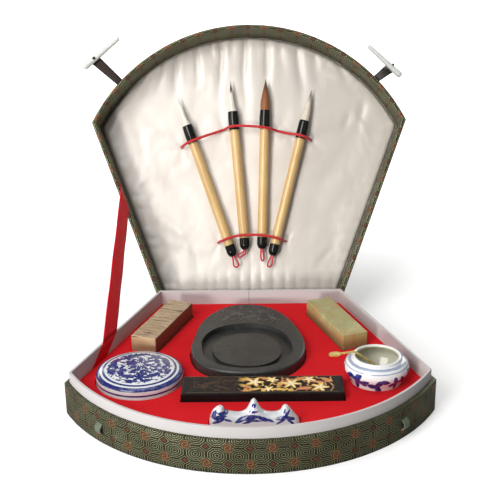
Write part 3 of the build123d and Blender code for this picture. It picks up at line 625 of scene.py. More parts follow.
def seal_left_stone():
    """Brown stone in bands across its length, with short dark veins on top; painted shade darkens its sides
    towards the bottom, and a painted shadow darkens its right face.
    """
    g = Graph("stone_left", (0.45, 0.36, 0.24), 0.34, **POLISH)
    across, along, z = g.around((-85.6, -72.9, 40), -SIDE)
    warp = g.field(across * 0.05, along * 0.05, z * 0.05, 3, 0.5)
    bands = g.field(across * 0.018 + warp * 0.4, along * 0.26, z * 0.05, 4, 0.6)
    fine = g.field(across * 0.12, along * 1.1, z * 0.4, 5, 0.65, 0.4)
    crack = g.abs(g.field(across * 0.014, along * 0.36, z * 0.03 + 3, 3, 0.55) - 0.5)
    vein = g.fade(crack, 0.006, 0.024) * g.smooth(g.field(across * 0.07, along * 0.1, 9, 2), 0.36, 0.47)
    c = g.ramp(bands * 0.6 + fine * 0.4, (0.26, (0.175, 0.104, 0.05)), (0.42, (0.36, 0.245, 0.138)),
               (0.56, (0.48, 0.355, 0.22)), (0.74, (0.6, 0.48, 0.335)))
    c = g.over(c, (vein * 0.95 * g.smooth(z, -3, -1), (0.03, 0.014, 0.012)),
               # painted shade: the sides darker towards the bottom
               (g.fade(z, -10, -0.5) * 0.68, (0.19, 0.11, 0.058)),
               # painted shadow on the right face
               (g.smooth(across, 12.3, 12.7) * 0.8, (0.13, 0.045, 0.03)))
    return g.surface(c, g.bump(fine - vein * 0.8, 0.00016, 0.4), 0.28 + fine * 0.2)


def seal_right_stone():
    """Green stone with warm clouds."""
    g = Graph("stone_right", (0.35, 0.34, 0.2), 0.32, **POLISH)
    across, along, z = g.around((84.2, -69.6, 40), SIDE)
    cloud = g.field(across * 0.045, along * 0.028, z * 0.05, 5, 0.6, 1.2)
    fine = g.field(across * 0.3, along * 0.3, z * 0.3, 5, 0.65)
    warm = g.smooth(g.field(across * 0.07, along * 0.07, 4, 3, 0.5), 0.52, 0.62)
    thread = g.abs(g.field(across * 0.03, along * 0.05, z * 0.05 + 7, 3, 0.5, 0.6) - 0.5)
    c = g.ramp(cloud * 0.8 + fine * 0.2, (0.34, (0.25, 0.165, 0.06)), (0.44, (0.34, 0.28, 0.11)),
               (0.54, (0.33, 0.325, 0.145)), (0.66, (0.5, 0.46, 0.24)))
    c = g.over(c, (warm * 0.45, (0.44, 0.26, 0.11)), (g.fade(z, -12, -1.5) * 0.85, (0.15, 0.095, 0.042)),
               (g.smooth(1 - thread * 26, 0.1, 0.9) * 0.1, (0.16, 0.11, 0.05)))
    return g.surface(c, g.bump(fine, 0.0001, 0.35), 0.26 + fine * 0.18)


# ---------------------------------------------------------------- porcelain
COBALT = (0.007, 0.014, 0.155)
GLAZE = (0.72, 0.735, 0.745)
THIN_COBALT = tuple(0.45 * a + 0.3 * b for a, b in zip(COBALT, GLAZE))
PASTE_BOX = (-99.5, -168.5, INSERT_TOP)
WATER_POT = (113, -172.5, INSERT_TOP)


def glaze(name, color=GLAZE):
    g = Graph(name, color, 0.18, Coat_Weight=0.4, Coat_Roughness=0.05, Specular_IOR_Level=0.4)
    g.base = g.mix(g.grain(90, 3, 0.5), shade(color, 0.93), color)
    return g.surface(g.base, g.bump(g.grain(160, 2), 0.0003, 0.25))


def brushed(g, mask, under):
    """Cobalt laid on with a wet brush: edges darker, middle thinner."""
    tone = g.smooth(g.grain(420, 3, 0.6), 0.42, 0.75)
    return g.mix(g.smooth(mask, 0, 0.1), under, g.mix(tone * 0.45, COBALT, THIN_COBALT))


def paste_lid_glaze():
    """A wreath of blooms and leaves inside two rings."""
    g = glaze("porcelain_paste_lid")
    x, y, z = g.around(PASTE_BOX)
    r = g.length(x, y)
    wob = (g.grain(120, 2) - 0.5) * 1.4
    xx, yy = (x + wob * 1.2) * 0.9, (y + wob) * 0.9
    inside = g.fade(r, 29, 29.6)
    blooms = ((0, 3, 12, 8, 0.4), (-17, -5, 9, 6, 1), (16.5, -2.5, 8.8, 6, 2),
              (-11, 17.5, 7.4, 5, 0.2), (12.5, 17, 7.2, 5, 1.5), (2, -17, 8.2, 6, 0.8))
    hearts = [(cx, cy, size, petals, turn) for (cx, cy, _, petals, turn), size in zip(blooms, (4, 2.4, 2.4))]
    leaves = [(cx, cy, long * 1.15, wide * 1.5, turn) for cx, cy, long, wide, turn in (
        (-22, 5, 6.5, 2, 70), (-20.5, 12, 5.5, 1.8, 40), (-3, 21.5, 6, 1.8, 8), (21, 8, 6.5, 2, -65),
        (20, 14.5, 4.6, 1.6, -40), (-9, -16, 6, 1.8, -25), (12, -14.5, 6, 1.8, 30), (-22.5, -8, 4.8, 1.5, -60),
        (23.5, -7, 4.8, 1.5, 60), (-4, -8, 4.6, 1.4, 50), (7, -8.5, 4.4, 1.3, -40), (-8, 7.5, 4.6, 1.4, -30),
        (9, 9.5, 4.6, 1.3, 30), (3.5, 23, 4.4, 1.4, -20), (-5, -23, 5, 1.4, -12), (8, -22, 4.6, 1.3, 20))]
    wreath = most(g, motifs(g, bloom, xx, yy, *blooms), motifs(g, leaf, xx, yy, *leaves),
                  vines(g, x, y, 0.13, 4, 0.04) * 0.6, scattered(g, x, y, 7.5, 2, 3, 9.1) * 0.7)
    inner_ring = 1.1 - g.abs(r + wob * 0.4 - 32.6)
    outer_ring = 1.7 - g.abs(r + wob * 0.3 - 37.3)
    edge = (0.9 - g.abs(z - 3)) * g.smooth(r, 38.6, 38.9)
    c = brushed(g, most(g, inner_ring, outer_ring, wreath * inside, edge), g.base)
    return g.surface(g.mix(g.smooth(motifs(g, bloom, xx, yy, *hearts), 0, 0.12) * 0.8, c, g.base))


def bowl_glaze():
    g = glaze("porcelain_bowl")
    x, y, z = g.around(PASTE_BOX)
    return g.surface(brushed(g, (0.5 - g.abs(z + 3)) * g.smooth(g.length(x, y), 36.5, 37), g.base))


def pot_glaze():
    """Ten clumps of blue round the belly and two lines at the neck, outside only."""
    g = glaze("porcelain_pot", (0.7, 0.72, 0.72))
    x, y, z = g.around(WATER_POT)
    arc = g.angle(x, y) * 28
    zz = z + (g.grain(130, 2) - 0.5) * 0.9
    nx, ny, _ = g.split(g.make("NewGeometry", out="Normal"))
    facing = g.smooth((nx * x + ny * y) / g.length(x, y), 0.02, 0.12)
    out = g.max(facing, g.smooth(z, 23.2, 23.8))
    line = g.max(0.75 - g.abs(zz - 20.4), 0.6 - g.abs(zz - 17.6)) * out
    band_mask = g.smooth(zz, -1, 0.2) * g.fade(zz, 15.6, 16.4) * facing
    clumps = []
    for k in range(10):
        at, up = -84 + 18.6 * k, 7.2 + 2.4 * sin(k * 2.1)
        clumps += [bloom(g, arc, zz, at, up, 9.2 + 1.6 * sin(k * 1.3 + 0.6), 3 + k % 2, k * 1.7),
                   leaf(g, arc, zz, at + 7.4, 13 - up * 0.5, 5.6, 2.7, 60 - 37 * (k % 4))]
    c = g.over(g.base, ((1 - out) * 0.85, (0.56, 0.545, 0.41)),
               (g.smooth(line, 0, 0.25) * 0.7, (0.12, 0.18, 0.34)))
    return g.surface(brushed(g, most(g, *clumps) * band_mask, c))


def rest_glaze():
    g = glaze("porcelain_rest", (0.58, 0.6, 0.615))
    x, _, z = g.around((0, REST_Y, 0))
    wob = g.grain(220, 2) - 0.5
    x, z = x + wob * 1.2, z + wob * 1
    marks = motifs(
        g, leaf, x, z,
        (-25.5, 35.6, 7, 2, 6), (-22.5, 38.4, 6, 1.4, -8), (-26, 32.6, 6, 1.5, 18), (-29.5, 37.4, 4, 1.5, 60),
        (-18.5, 33.4, 4, 1, -20), (-7.5, 33.4, 6, 1.7, 22), (1.5, 35.8, 8, 2, 4), (10.5, 34.2, 6, 1.6, -18),
        (2, 33, 8.5, 1.2, -4), (3.2, 40, 4.6, 1.1, 4), (-2.5, 31.4, 4.4, 0.9, 10), (17, 32.6, 3.2, 0.9, -24),
        (27, 34.8, 6.5, 1.6, 12), (30, 37.6, 4.6, 1.5, 42), (32.5, 34.6, 5.6, 1.5, -20), (25.5, 32, 5.4, 1, 28),
        (33.5, 31.6, 5, 1, -34), (28.8, 39.8, 2.6, 1.1, 80))
    knob = 1 - g.length(x - 3.4, z - 45.2) * (1 / 1.9)
    return g.surface(brushed(g, g.max(marks, knob), g.base))


def stick_ink():
    """Black ink, gilt blooms and leaves on the right part of the top, worn leaves on the left."""
    g = Graph("ink_stick_lacquer", (0.01, 0.01, 0.01), 0.34, Coat_Weight=0.03, Coat_Roughness=0.15,
              Specular_IOR_Level=0.15)
    x, y, z = g.around((11, -195.6, 33.4))
    wob = g.field(x * 0.3, y * 0.3, 0, 2) - 0.5
    x, y = x + wob * 1.6, y + wob * 1.2
    side = g.abs(y)
    body = g.grain(500, 4, 0.6)
    blooms = motifs(g, bloom, x, y, (-7, 4, 8.6, 5, 0.3), (8.5, 8, 6, 5, 1.1), (25, 1, 9.2, 6, 0.8),
                    (41, 8.5, 6.6, 5, 2), (50, -6, 8.4, 5, 0), (5, -8.5, 6, 5, 2.2))
    leaves = motifs(g, leaf, x, y, (-18, 8.5, 7.5, 2.6, 25), (-16, -3, 7.5, 2.6, -30), (1, 11, 5.5, 1.8, -15),
                    (15.5, 0, 7, 2.6, 65), (15, -9.5, 8.5, 2.2, -8), (33.5, 9.5, 6.5, 2.2, 40),
                    (36, -8, 8, 2.8, 12), (56.5, 7.5, 7, 2.4, -35), (-7, -9, 7, 2, 12),
                    (48, 3.5, 7.5, 1.9, -8))
    faint = g.max(motifs(g, leaf, x, y, (-44, 3, 9, 2.6, 18), (-36, -5, 8, 2.2, -22), (-30, 6, 7, 2, -10)),
                  bloom(g, x, y, -53, -3, 6.5, 5, 0.4))
    cloud = vines(g, x, y, 0.1, 2, 0.03) * 0.7
    top = g.smooth(z, -1.2, -0.5)
    right = g.smooth(x, -24, -14) * g.fade(x, 60, 63) * g.fade(side, 12.6, 13.4) * top
    left = g.fade(x, -26, -20) * g.smooth(x, -66, -62) * g.fade(side, 12, 13) * top
    flower = g.smooth(blooms, 0, 0.08) * right
    green = g.smooth(g.max(leaves, cloud), 0, 0.12) * right
    dim = g.smooth(g.max(faint, cloud * 0.5), 0.05, 0.25) * left
    rim = g.fade(g.abs(side - 14.2), 0.25, 0.5) * top * g.fade(g.abs(x), 66, 66.6) * 0.25
    gold = g.mix(g.grain(900, 3), (0.7, 0.43, 0.09), (0.95, 0.72, 0.26))
    bronze = g.mix(g.smooth(g.grain(70, 2), 0.4, 0.6), (0.74, 0.47, 0.12), (0.6, 0.24, 0.1))
    pale_gold = g.mix(g.smooth(blooms, 0.25, 0.55), gold, (0.96, 0.84, 0.6))
    c = g.over((0.003, 0.003, 0.003), (body, (0.011, 0.01, 0.01)), (dim * 0.3, (0.16, 0.075, 0.03)),
               (green, bronze), (flower, pale_gold), (rim, (0.4, 0.25, 0.09)))
    raised = g.bump(flower + green * 0.7 + dim * 0.4 + rim, 0.0006, 0.8, g.bump(body, 0.0002, 0.4))
    return g.surface(c, raised, 0.3 + body * 0.2, g.max(flower, green) * 0.15)


# ---------------------------------------------------------------- brushes
HANDLE = (12.5, 129.5)              # bamboo seen between cap and ferrule, from the brush's own zero
HAIR_FROM, HAIR_LONG = 149.5, 34.5
HAIR_LOW, HAIR_HIGH = -4, 34.4    # drawn part of the hair, from the ferrule's mouth
HAIR_RADIUS = [(-4, 4.7), (0, 4.8), (2.5, 5.05), (6, 5.2), (11, 4.75), (16, 3.95), (21, 3.05), (25, 2.05),
               (28.5, 1.25), (31.5, 0.62), (33.5, 0.26), (34.4, 0.05)]
HAIRS = [                           # slot, width, bend at the tip, colours from ferrule to tip
    ("hair_white", 0.52, (-0.5, 0), (
        (0, (0.7, 0.67, 0.58)), (0.6, (0.8, 0.78, 0.72)), (1, (0.76, 0.74, 0.67)))),
    ("hair_mixed", 0.58, (-0.6, -0.2), (
        (0, (0.72, 0.69, 0.61)), (0.6, (0.7, 0.68, 0.62)), (0.7, (0.08, 0.06, 0.05)),
        (1, (0.015, 0.014, 0.013)))),
    ("hair_brown", 1, (0, 0.1), (
        (0, (0.26, 0.088, 0.02)), (0.55, (0.22, 0.075, 0.018)), (0.8, (0.1, 0.034, 0.01)),
        (1, (0.05, 0.018, 0.008)))),
    ("hair_cream", 0.88, (0.3, 0.15), (
        (0, (0.62, 0.56, 0.45)), (0.6, (0.64, 0.58, 0.47)), (0.82, (0.27, 0.235, 0.195)),
        (1, (0.1, 0.09, 0.08)))),
]


def brush_axes(i):
    (cx, cu), (tx, tu) = BRUSHES[i]
    d = Vector((tx - cx, tu - cu)).normalized()
    return lid_point(cx, cu, BRUSH_DEPTH), LID_X * d.x + LID_UP * d.y, LID_UP * d.x - LID_X * d.y, -LID_DEEP


def brush_point(i, lx, ly, lz):
    o, along, across, out = brush_axes(i)
    return o + (across * lx + out * ly + along * lz) * MM


def bamboo(i):
    g = Graph("bamboo_%d" % (i + 1), (0.7, 0.48, 0.22), 0.28, Coat_Weight=0.35, Coat_Roughness=0.12)
    l, a, b = g.local(*brush_axes(i))
    fibre = g.field(a * 2.6, b * 2.6, l * 0.05 + 10 * i, 4, 0.6)
    fleck = g.smooth(g.field(a * 1.4, b * 1.4, l * 0.22 + 3 * i, 3, 0.6), 0.6, 0.74)
    tone = g.field(a * 0.1, b * 0.1, l * 0.02 + i, 2)
    from_end = g.math("MINIMUM", l - HANDLE[0], HANDLE[1] - l)
    c = g.ramp(fibre * 0.65 + tone * 0.35, (0.3, (0.43, 0.26, 0.09)), (0.52, (0.59, 0.395, 0.16)),
               (0.72, (0.72, 0.53, 0.26)))
    c = g.over(c, (fleck * 0.25, (0.42, 0.24, 0.09)), (g.fade(from_end, 0, 3) * 0.35, (0.3, 0.16, 0.06)))
    return g.surface(c, g.bump(fibre, 0.0001, 0.5), 0.24 + fibre * 0.16)


def hair_stuff(i):
    stops = HAIRS[i][3]
    root = stops[0][1]
    g = Graph("hair_%d" % (i + 1), (0.7, 0.6, 0.5), 0.42, Sheen_Weight=0.08, Anisotropic=0.6,
              Specular_IOR_Level=0.4)
    u, v, _ = g.split(g.coord("UV"))
    strand = g.field(u * 34, v * 1.6, 2 * i, 3, 0.7)
    c = g.mix(g.fade(strand, 0.3, 0.55) * 0.5, g.ramp(v + (strand - 0.5) * 0.14, *stops), shade(root, 0.32))
    return g.surface(c, g.bump(strand, 0.0004, 0.9))


def hair_bundle(i):
    """Fluted bundle of strands from inside the ferrule to the point."""
    rng = random.Random(40 + i)
    slot, width, (bend_x, bend_y), _ = HAIRS[i]
    n, steps = 72, 34
    flute = [rng.uniform(-1, 1) for _ in range(n)]
    flute = [0.6 * flute[j] + 0.2 * (flute[j - 1] + flute[(j + 1) % n]) for j in range(n)]
    drift = [rng.uniform(-0.5, 0.5) for _ in range(n)]
    verts, uvs = [], []
    for s in range(steps + 1):
        z = HAIR_LOW + (HAIR_HIGH - HAIR_LOW) * s / steps
        t = max(0, z / HAIR_LONG)
        r = between(HAIR_RADIUS, z) * (1 + (width - 1) * min(1, max(0, z + 0.5) / 6))
        for j in range(n):
            a = TURN * (j + drift[j] * t * 0.8) / n
            k = r * (1 - 0.055 * (0.5 + 0.5 * flute[j]) * min(1, t * 5)) - 0.12 * t * abs(flute[j])
            k = max(k, 0.02)
            x, y = k * cos(a) + bend_x * t ** 3, k * sin(a) + bend_y * t ** 3
            verts.append(brush_point(i, x, y, HAIR_FROM + z))
            uvs.append((j / n, s / steps))
    brush = "brush_%d" % (i + 1)
    piece(brush + "_bristles", verts, tube_faces(steps + 1, n), uvs, hair_stuff(i), brush,
          brush + "_hair")


# ---------------------------------------------------------------- cords
# Elastic cords over the brushes: (x, distance up the lid, depth), as in the CAD
CORDS = {
    "cord_upper": [
        (-73.4, 161.9, 40), (-73.4, 161.9, 36.5), (-65.4, 165.8, 26.1), (-56.6, 169.2, 26.1),
        (-29.5, 179.6, 38.58), (-26.4, 180.7, 38.58), (-20.4, 182.3, 26.1), (-10, 183.3, 26.1),
        (21.5, 180.8, 26.1), (27.5, 179.2, 38.58), (45.4, 175, 38.58), (51.3, 173.3, 26.1),
        (60.4, 170.4, 26.1), (66.9, 168, 36.5), (66.9, 168, 40)],
    "cord_lower": [
        (-34.4, 58.1, 40), (-34.4, 58.1, 36.5), (-28.8, 60.1, 26.5), (-20, 63.6, 26.5),
        (-6.6, 66, 26.5), (13, 65.6, 26.5), (26.6, 62.8, 26.5), (32.6, 60.4, 26.5),
        (38.4, 59, 36.5), (38.4, 59, 40)],
}
# Hanging loops: half width, length, swing in degrees
LOOPS = [(2.9, 13.2, 0), (2, 12.6, 62), (1.7, 13.8, -6), (2.5, 13.6, 4)]
ELASTIC_RADIUS, LOOP_RADIUS = 1.4, 0.85
SHORTEST_CORD = 0.0301


def spline_length(points):
    """Length of the order-3 spline with these control points."""
    joints = [points[0]] + [(a + b) / 2 for a, b in zip(points[1:-2], points[2:-1])] + [points[-1]]
    total = 0
    for a, c, b in zip(joints, points[1:-1], joints[1:]):
        last = a
        for s in range(1, 17):
            t = s / 16
            q = a * (1 - t) ** 2 + c * 2 * t * (1 - t) + b * t ** 2
            total += (q - last).length
            last = q
    return total


def free_cord(name, points, radius, mat, body, node):
    data = bpy.data.curves.new(name, "CURVE")
    data.dimensions = "3D"
    data.bevel_depth = radius * MM
    data.bevel_resolution = 5
    data.use_fill_caps = True
    data.resolution_u = 16
    spline = data.splines.new("NURBS")
    spline.points.add(len(points) - 1)
    for p, co in zip(spline.points, points):
        p.co = (*co, 1)
    spline.order_u = 3
    spline.use_endpoint_u = True
    data.materials.append(mat.mat)
    o = link(bpy.data.objects.new(name, data))
    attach(o, body)
    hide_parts(node)
    max(SHORTEST_CORD, spline_length(points))


def elastic_cords():
    mat = cord_stuff("elastic_red", (0.6, 0.016, 0.022), 90)
    for name, route in CORDS.items():
        free_cord(name + "_elastic", [lid_point(*p) for p in route], ELASTIC_RADIUS, mat, "lid", name)


def hanging_loops():
    mat = cord_stuff("loop_red", (0.62, 0.02, 0.035), 26)
    drop, leg = 2.6, 0.95
    for i, (half, long, swing) in enumerate(LOOPS):
        bend = radians(swing)

        def hung(x, z):
            z += drop
            return x * cos(bend) - z * sin(bend), x * sin(bend) + z * cos(bend) - drop

        low = -long + LOOP_RADIUS
        route = [(-leg, 2.4), (-leg, -drop), hung(-half, -long * 0.62), hung(-half * 0.72, low),
                 hung(half * 0.72, low), hung(half, -long * 0.62), (leg, -drop), (leg, 2.4)]
        brush = "brush_%d" % (i + 1)
        free_cord(brush + "_hanging_loop", [brush_point(i, x, 0, z) for x, z in route], LOOP_RADIUS, mat,
                  brush, brush + "_loop")


# ---------------------------------------------------------------- brocade covers
# Inset and height of each skin, from inside the rim, over it and down
BASE_PROFILE = [(4.35, 26), (4.35, 30.2), (4.1, 30.5), (3.7, 30.6), (0.9, 30.6), (0.35, 30.48), (0.08, 30.15),
                (0, 29.6), (0, 20), (0, 10), (0, 1.6), (0.05, 0.9), (0.3, 0.55), (1.2, 0.5)]
LID_PROFILE = [(4, 44), (4, 30), (4, 15), (4, 1), (3.85, 0.45), (3.4, 0.12), (2, 0.1), (0.6, 0.12),
               (0.15, 0.45), (0, 1), (0, 16), (0, 32), (0, 47.4), (0.15, 48.1), (0.5, 48.42),
               (1, LID_HEIGHT)]


def covers():
    skirt("base_brocade_wrap", BASE_PROFILE, base_point, brocade("brocade_silk", 1), "base",
          "base_brocade_cover")
    # the lid's copy of the brocade has its lines 1.5 times lighter, as painted light on the lid
    mat = brocade("brocade_silk_lid", 1.5)
    skirt("lid_brocade_wrap", LID_PROFILE, lambda x, y, h: lid_point(x, -y, h), mat, "lid", "lid_brocade_cover")
    flat = [(x, -y) for x, y, _ in outline(LID_PROFILE[-1][0])] + [(0, 140)]
    n = len(flat) - 1
    piece("lid_brocade_back", [lid_point(x, up, LID_HEIGHT) for x, up in flat],
          [(j, j + 1, n) for j in range(n - 1)], flat, mat, "lid", "lid_brocade_cover", smooth=False)


# ---------------------------------------------------------------- padded satin
SATIN_INSET = 5
# Where the cords go into the satin: x, distance up the lid
PINS = [(-73.4, 161.9), (-28, 180.1), (27.5, 179.2), (45.4, 175), (66.9, 168), (-34.4, 58.1), (38.4, 59)]
# Gathers hanging from the arc: x, length, depth, width, lean
GATHERS = [
    (-79, 38, 2, 3.8, 0), (-57, 42, 2.3, 3.6, 0), (-43, 28, 1.3, 2.2, 0.25), (-31, 70, 2.5, 4, 0),
    (-4.5, 84, 2.3, 4.4, 0), (19, 78, 1.9, 4.2, 0), (36, 34, 0.9, 3.2, 0), (54, 58, 1.7, 4.6, 0.06),
    (72, 26, 1, 3.4, 0.1), (-94, 26, 1.4, 2.8, -0.2), (-108, 26, 1.9, 2.6, -0.75), (-118, 22, 1.5, 2.4, -0.8),
    (-17, 30, 0.9, 2.4, -0.1), (98, 24, 1, 3.6, 0.5),
]
# Single creases: x, distance up the lid, turn, depth, width, length
CREASES = [
    (95, 150, 62, 0.5, 8, 46), (112, 120, 58, 0.4, 7, 40), (78, 110, 66, 0.3, 8, 38),
    (-95, 140, -64, 0.5, 8, 42), (-70, 100, -55, 0.3, 8, 34), (100, 185, 40, 0.4, 7, 36),
    (60, 60, 70, 0.3, 8, 30), (-105, 190, -38, 0.5, 7, 34), (-88, 72, -20, 0.7, 5, 26),
    (-80, 52, -14, 0.7, 4, 24), (122, 198, 86, 1.3, 4, 14), (106, 190, 80, 0.9, 4, 12),
    (-118, 168, -70, 0.6, 6, 30), (80, 42, 60, 0.7, 4, 16), (-60, 40, -65, 0.6, 4, 18),
]
CLOTH = {"quality": 3, "mass": 0.12, "tension_stiffness": 15, "compression_stiffness": 15, "shear_stiffness": 8,
         "bending_stiffness": 1.5, "vertex_group_mass": "held", "shrink_min": -0.01}
CLOTH_FRAMES = 14


def fan_distance(x, up):
    """Distance of a point inside the fan to the sides, the arc and the hinge edge."""
    return (BACK_WIDTH / 2 + up * SLOPE - abs(x)) * cos(SIDE), ARC_R - hypot(x, -up - ARC_Y), up


def brush_distance(x, up):
    best = 1e9
    for (cx, cu), (tx, tu) in BRUSHES:
        d, here = Vector((tx - cx, tu - cu)), Vector((x - cx, up - cu))
        best = min(best, (here - d * clamp(here.dot(d) / d.length_squared)).length)
    return best


def clamp(v, low=0, high=1):
    return max(low, min(high, v))


def bell(t, wide):
    return exp(-(t / wide) ** 2)


def fall(distance, flat, reach):
    """1 up to flat, then falling off over reach."""
    return exp(-max(0, distance - flat) / reach)


def pleats(run, spacing, seed, sharp, lift):
    """Gathered cloth along an edge: narrow sunken lines between soft swells."""
    drift = mnoise.noise(Vector((run * 0.03, seed, 0))) * 3
    return (1 - abs(sin(run * pi / spacing + drift))) ** sharp - lift


def satin_folds(x, up):
    """How far the satin sinks (positive) or swells (negative) there, in mm."""
    side, arc, low = fan_distance(x, up)
    out = 0.35 * mnoise.noise(Vector((x * 0.022, up * 0.022, 3)))
    for at, long, deep, wide, lean in GATHERS:
        drop = sqrt((ARC_R - SATIN_INSET) ** 2 - at * at) - ARC_Y - up
        t = drop / long
        off = x - at - lean * drop - 1.2 * sin(drop * 0.07 + at)
        spread = wide * (0.75 + 0.5 * clamp(t, 0, 1.2))
        fade = exp(-max(0, t) ** 2.2 * 1.6)
        out += deep * fade * (1.25 * bell(off, spread) - 0.5 * bell(off - 1.9 * spread, spread * 1.3))
    run = atan2(x, up + ARC_Y) * ARC_R
    out += 1.1 * pleats(run + 3, 7.6, 6.1, 2.2, 0.2) * fall(arc, 7, 6)
    out += pleats(up / cos(SIDE) + (31 if x > 0 else 0), 17, 4, 1.6, 0.3) * fall(side, 6, 10)
    near_hinge = exp(-(max(0, low - 6) / (11 + 14 * bell(x - 8, 34))) ** 1.4)
    out += (0.9 + 0.9 * bell(x - 12, 40)) * pleats(x, 12.5, 7, 1.3, 0.3) * near_hinge
    for px, pu in PINS:
        r, turn = hypot(x - px, up - pu), atan2(up - pu, x - px)
        out += 1.2 * exp(-r / 3.2) + 0.35 * cos(turn * 5 + px) * exp(-abs(r - 9) / 9) * min(1, r / 6)
    for ox, ou, turn, deep, wide, long in CREASES:
        c, s = cos(radians(turn)), sin(radians(turn))
        u = (x - ox) * c + (up - ou) * s
        v = (up - ou) * c - (x - ox) * s + 3 * sin(u * 0.05)
        out += deep * bell(v, wide) * bell(u, long)
    return out


def fan_grid(nu, nv):
    """Points (x, up) spread over the satin, rows from the hinge edge to the arc."""
    bx, _ = back_corner(SATIN_INSET)
    fx, fy = front_corner(SATIN_INSET)
    half, r = atan2(fx, ARC_Y - fy), ARC_R - SATIN_INSET
    rows = []
    for t in (j / nv for j in range(nv + 1)):
        row = []
        for s in (2 * i / nu - 1 for i in range(nu + 1)):
            a = half * s
            row.append((bx * s + (r * sin(a) - bx * s) * t,
                        SATIN_INSET + (r * cos(a) - ARC_Y - SATIN_INSET) * t))
        rows.append(row)
    return rows


def buckled(nu, nv):
    """Rise, in mm, at each grid point of a cloth too big for its frame, pinned at its edge and at the cords."""
    grid = fan_grid(nu, nv)
    cols = nu + 1
    me = bpy.data.meshes.new("satin_cloth")
    co = [lid_point(x, up, SATIN_FACE + 0.3) for row in grid for x, up in row]
    me.from_pydata([tuple(v) for v in co], [], grid_faces(nv + 1, cols))
    o = link(bpy.data.objects.new("satin_cloth", me))
    o.vertex_groups.new(name="held").add(
        [j * cols + i for j in range(nv + 1) for i in range(cols) if i in (0, nu) or j in (0, nv)
         or min(hypot(grid[j][i][0] - px, grid[j][i][1] - pu) for px, pu in PINS) < 3.2], 1, "REPLACE")
    rng = random.Random(7)
    for v in me.vertices:
        v.co += LID_DEEP * (rng.uniform(-0.15, 0.15) * MM)
    m = o.modifiers.new("cloth", "CLOTH")
    for key, value in CLOTH.items():
        setattr(m.settings, key, value)
    m.settings.effector_weights.gravity = 0
    m.collision_settings.use_collision = False
    m.collision_settings.use_self_collision = False
    m.point_cache.frame_start, m.point_cache.frame_end = 1, CLOTH_FRAMES
    for f in range(1, CLOTH_FRAMES + 1):
        bpy.context.scene.frame_set(f)
    seen = o.evaluated_get(bpy.context.evaluated_depsgraph_get())
    rise = [(Vector(v.co) - c).dot(LID_DEEP) / MM for v, c in zip(seen.to_mesh().vertices, co)]
    seen.to_mesh_clear()
    bpy.context.scene.frame_set(1)
    bpy.data.objects.remove(o)
    return [rise[j * cols:(j + 1) * cols] for j in range(nv + 1)]


def satin_pad():
    """Satin over wadding: the buckled cloth, with its pleats and folds, rolled over at the edge."""
    sim_u, sim_v = 56, 48
    rise = buckled(sim_u, sim_v)
    nu, nv = 132, 116
    cols = nu + 1
    grid = fan_grid(nu, nv)
    verts = []
    for j in range(nv + 1):
        jj, fv = divmod(min(sim_v - 1e-6, j / nv * sim_v), 1)
        near_row, far_row = rise[int(jj)], rise[int(jj) + 1]
        for i in range(cols):
            ii, fu = divmod(min(sim_u - 1e-6, i / nu * sim_u), 1)
            ii = int(ii)
            lift = ((near_row[ii] * (1 - fu) + near_row[ii + 1] * fu) * (1 - fv)
                    + (far_row[ii] * (1 - fu) + far_row[ii + 1] * fu) * fv)
            x, up = grid[j][i]
            near = max(0, min(fan_distance(x, up)) - SATIN_INSET)
            roll = 3 * (1 - min(1, near / 3.2)) ** 2
            puff = -0.6 * bell(near - 10, 8)
            deep = (SATIN_FACE + 0.3 + 0.3 * clamp(lift, -1.4, 1.4) * min(1, near / 8) + satin_folds(x, up)
                    + roll + puff)
            # a soft floor keeps the satin behind the brushes
            floor = SATIN_FACE + 0.05 - 1.9 * clamp((brush_distance(x, up) - 5) / 10)
            deep = min(LINING_FACE - 0.4, floor + log1p(exp((deep - floor) * 4)) / 4)
            verts.append(lid_point(x, up, deep))
    faces = grid_faces(nv + 1, cols)
    rim = ([j * cols for j in range(nv + 1)] + [nv * cols + i for i in range(1, cols)]
           + [j * cols + nu for j in range(nv - 1, -1, -1)] + list(range(nu - 1, 0, -1)))
    start, n = len(verts), len(rim)
    verts += [lid_point(*grid[k // cols][k % cols], LINING_FACE - 0.05) for k in rim]
    faces += [(rim[k], start + k, start + (k + 1) % n, rim[(k + 1) % n]) for k in range(n)]
    faces.append(tuple(start + k for k in range(n)))
    o = piece("satin_padding", verts, faces, None, satin(), "lid", "satin_panel")
    outward(o)


# ---------------------------------------------------------------- ribbons
STAY_WIDTH = 16
STAY_LOW, STAY_HIGH = 115.5, 103.5      # places along the collar and up the lid


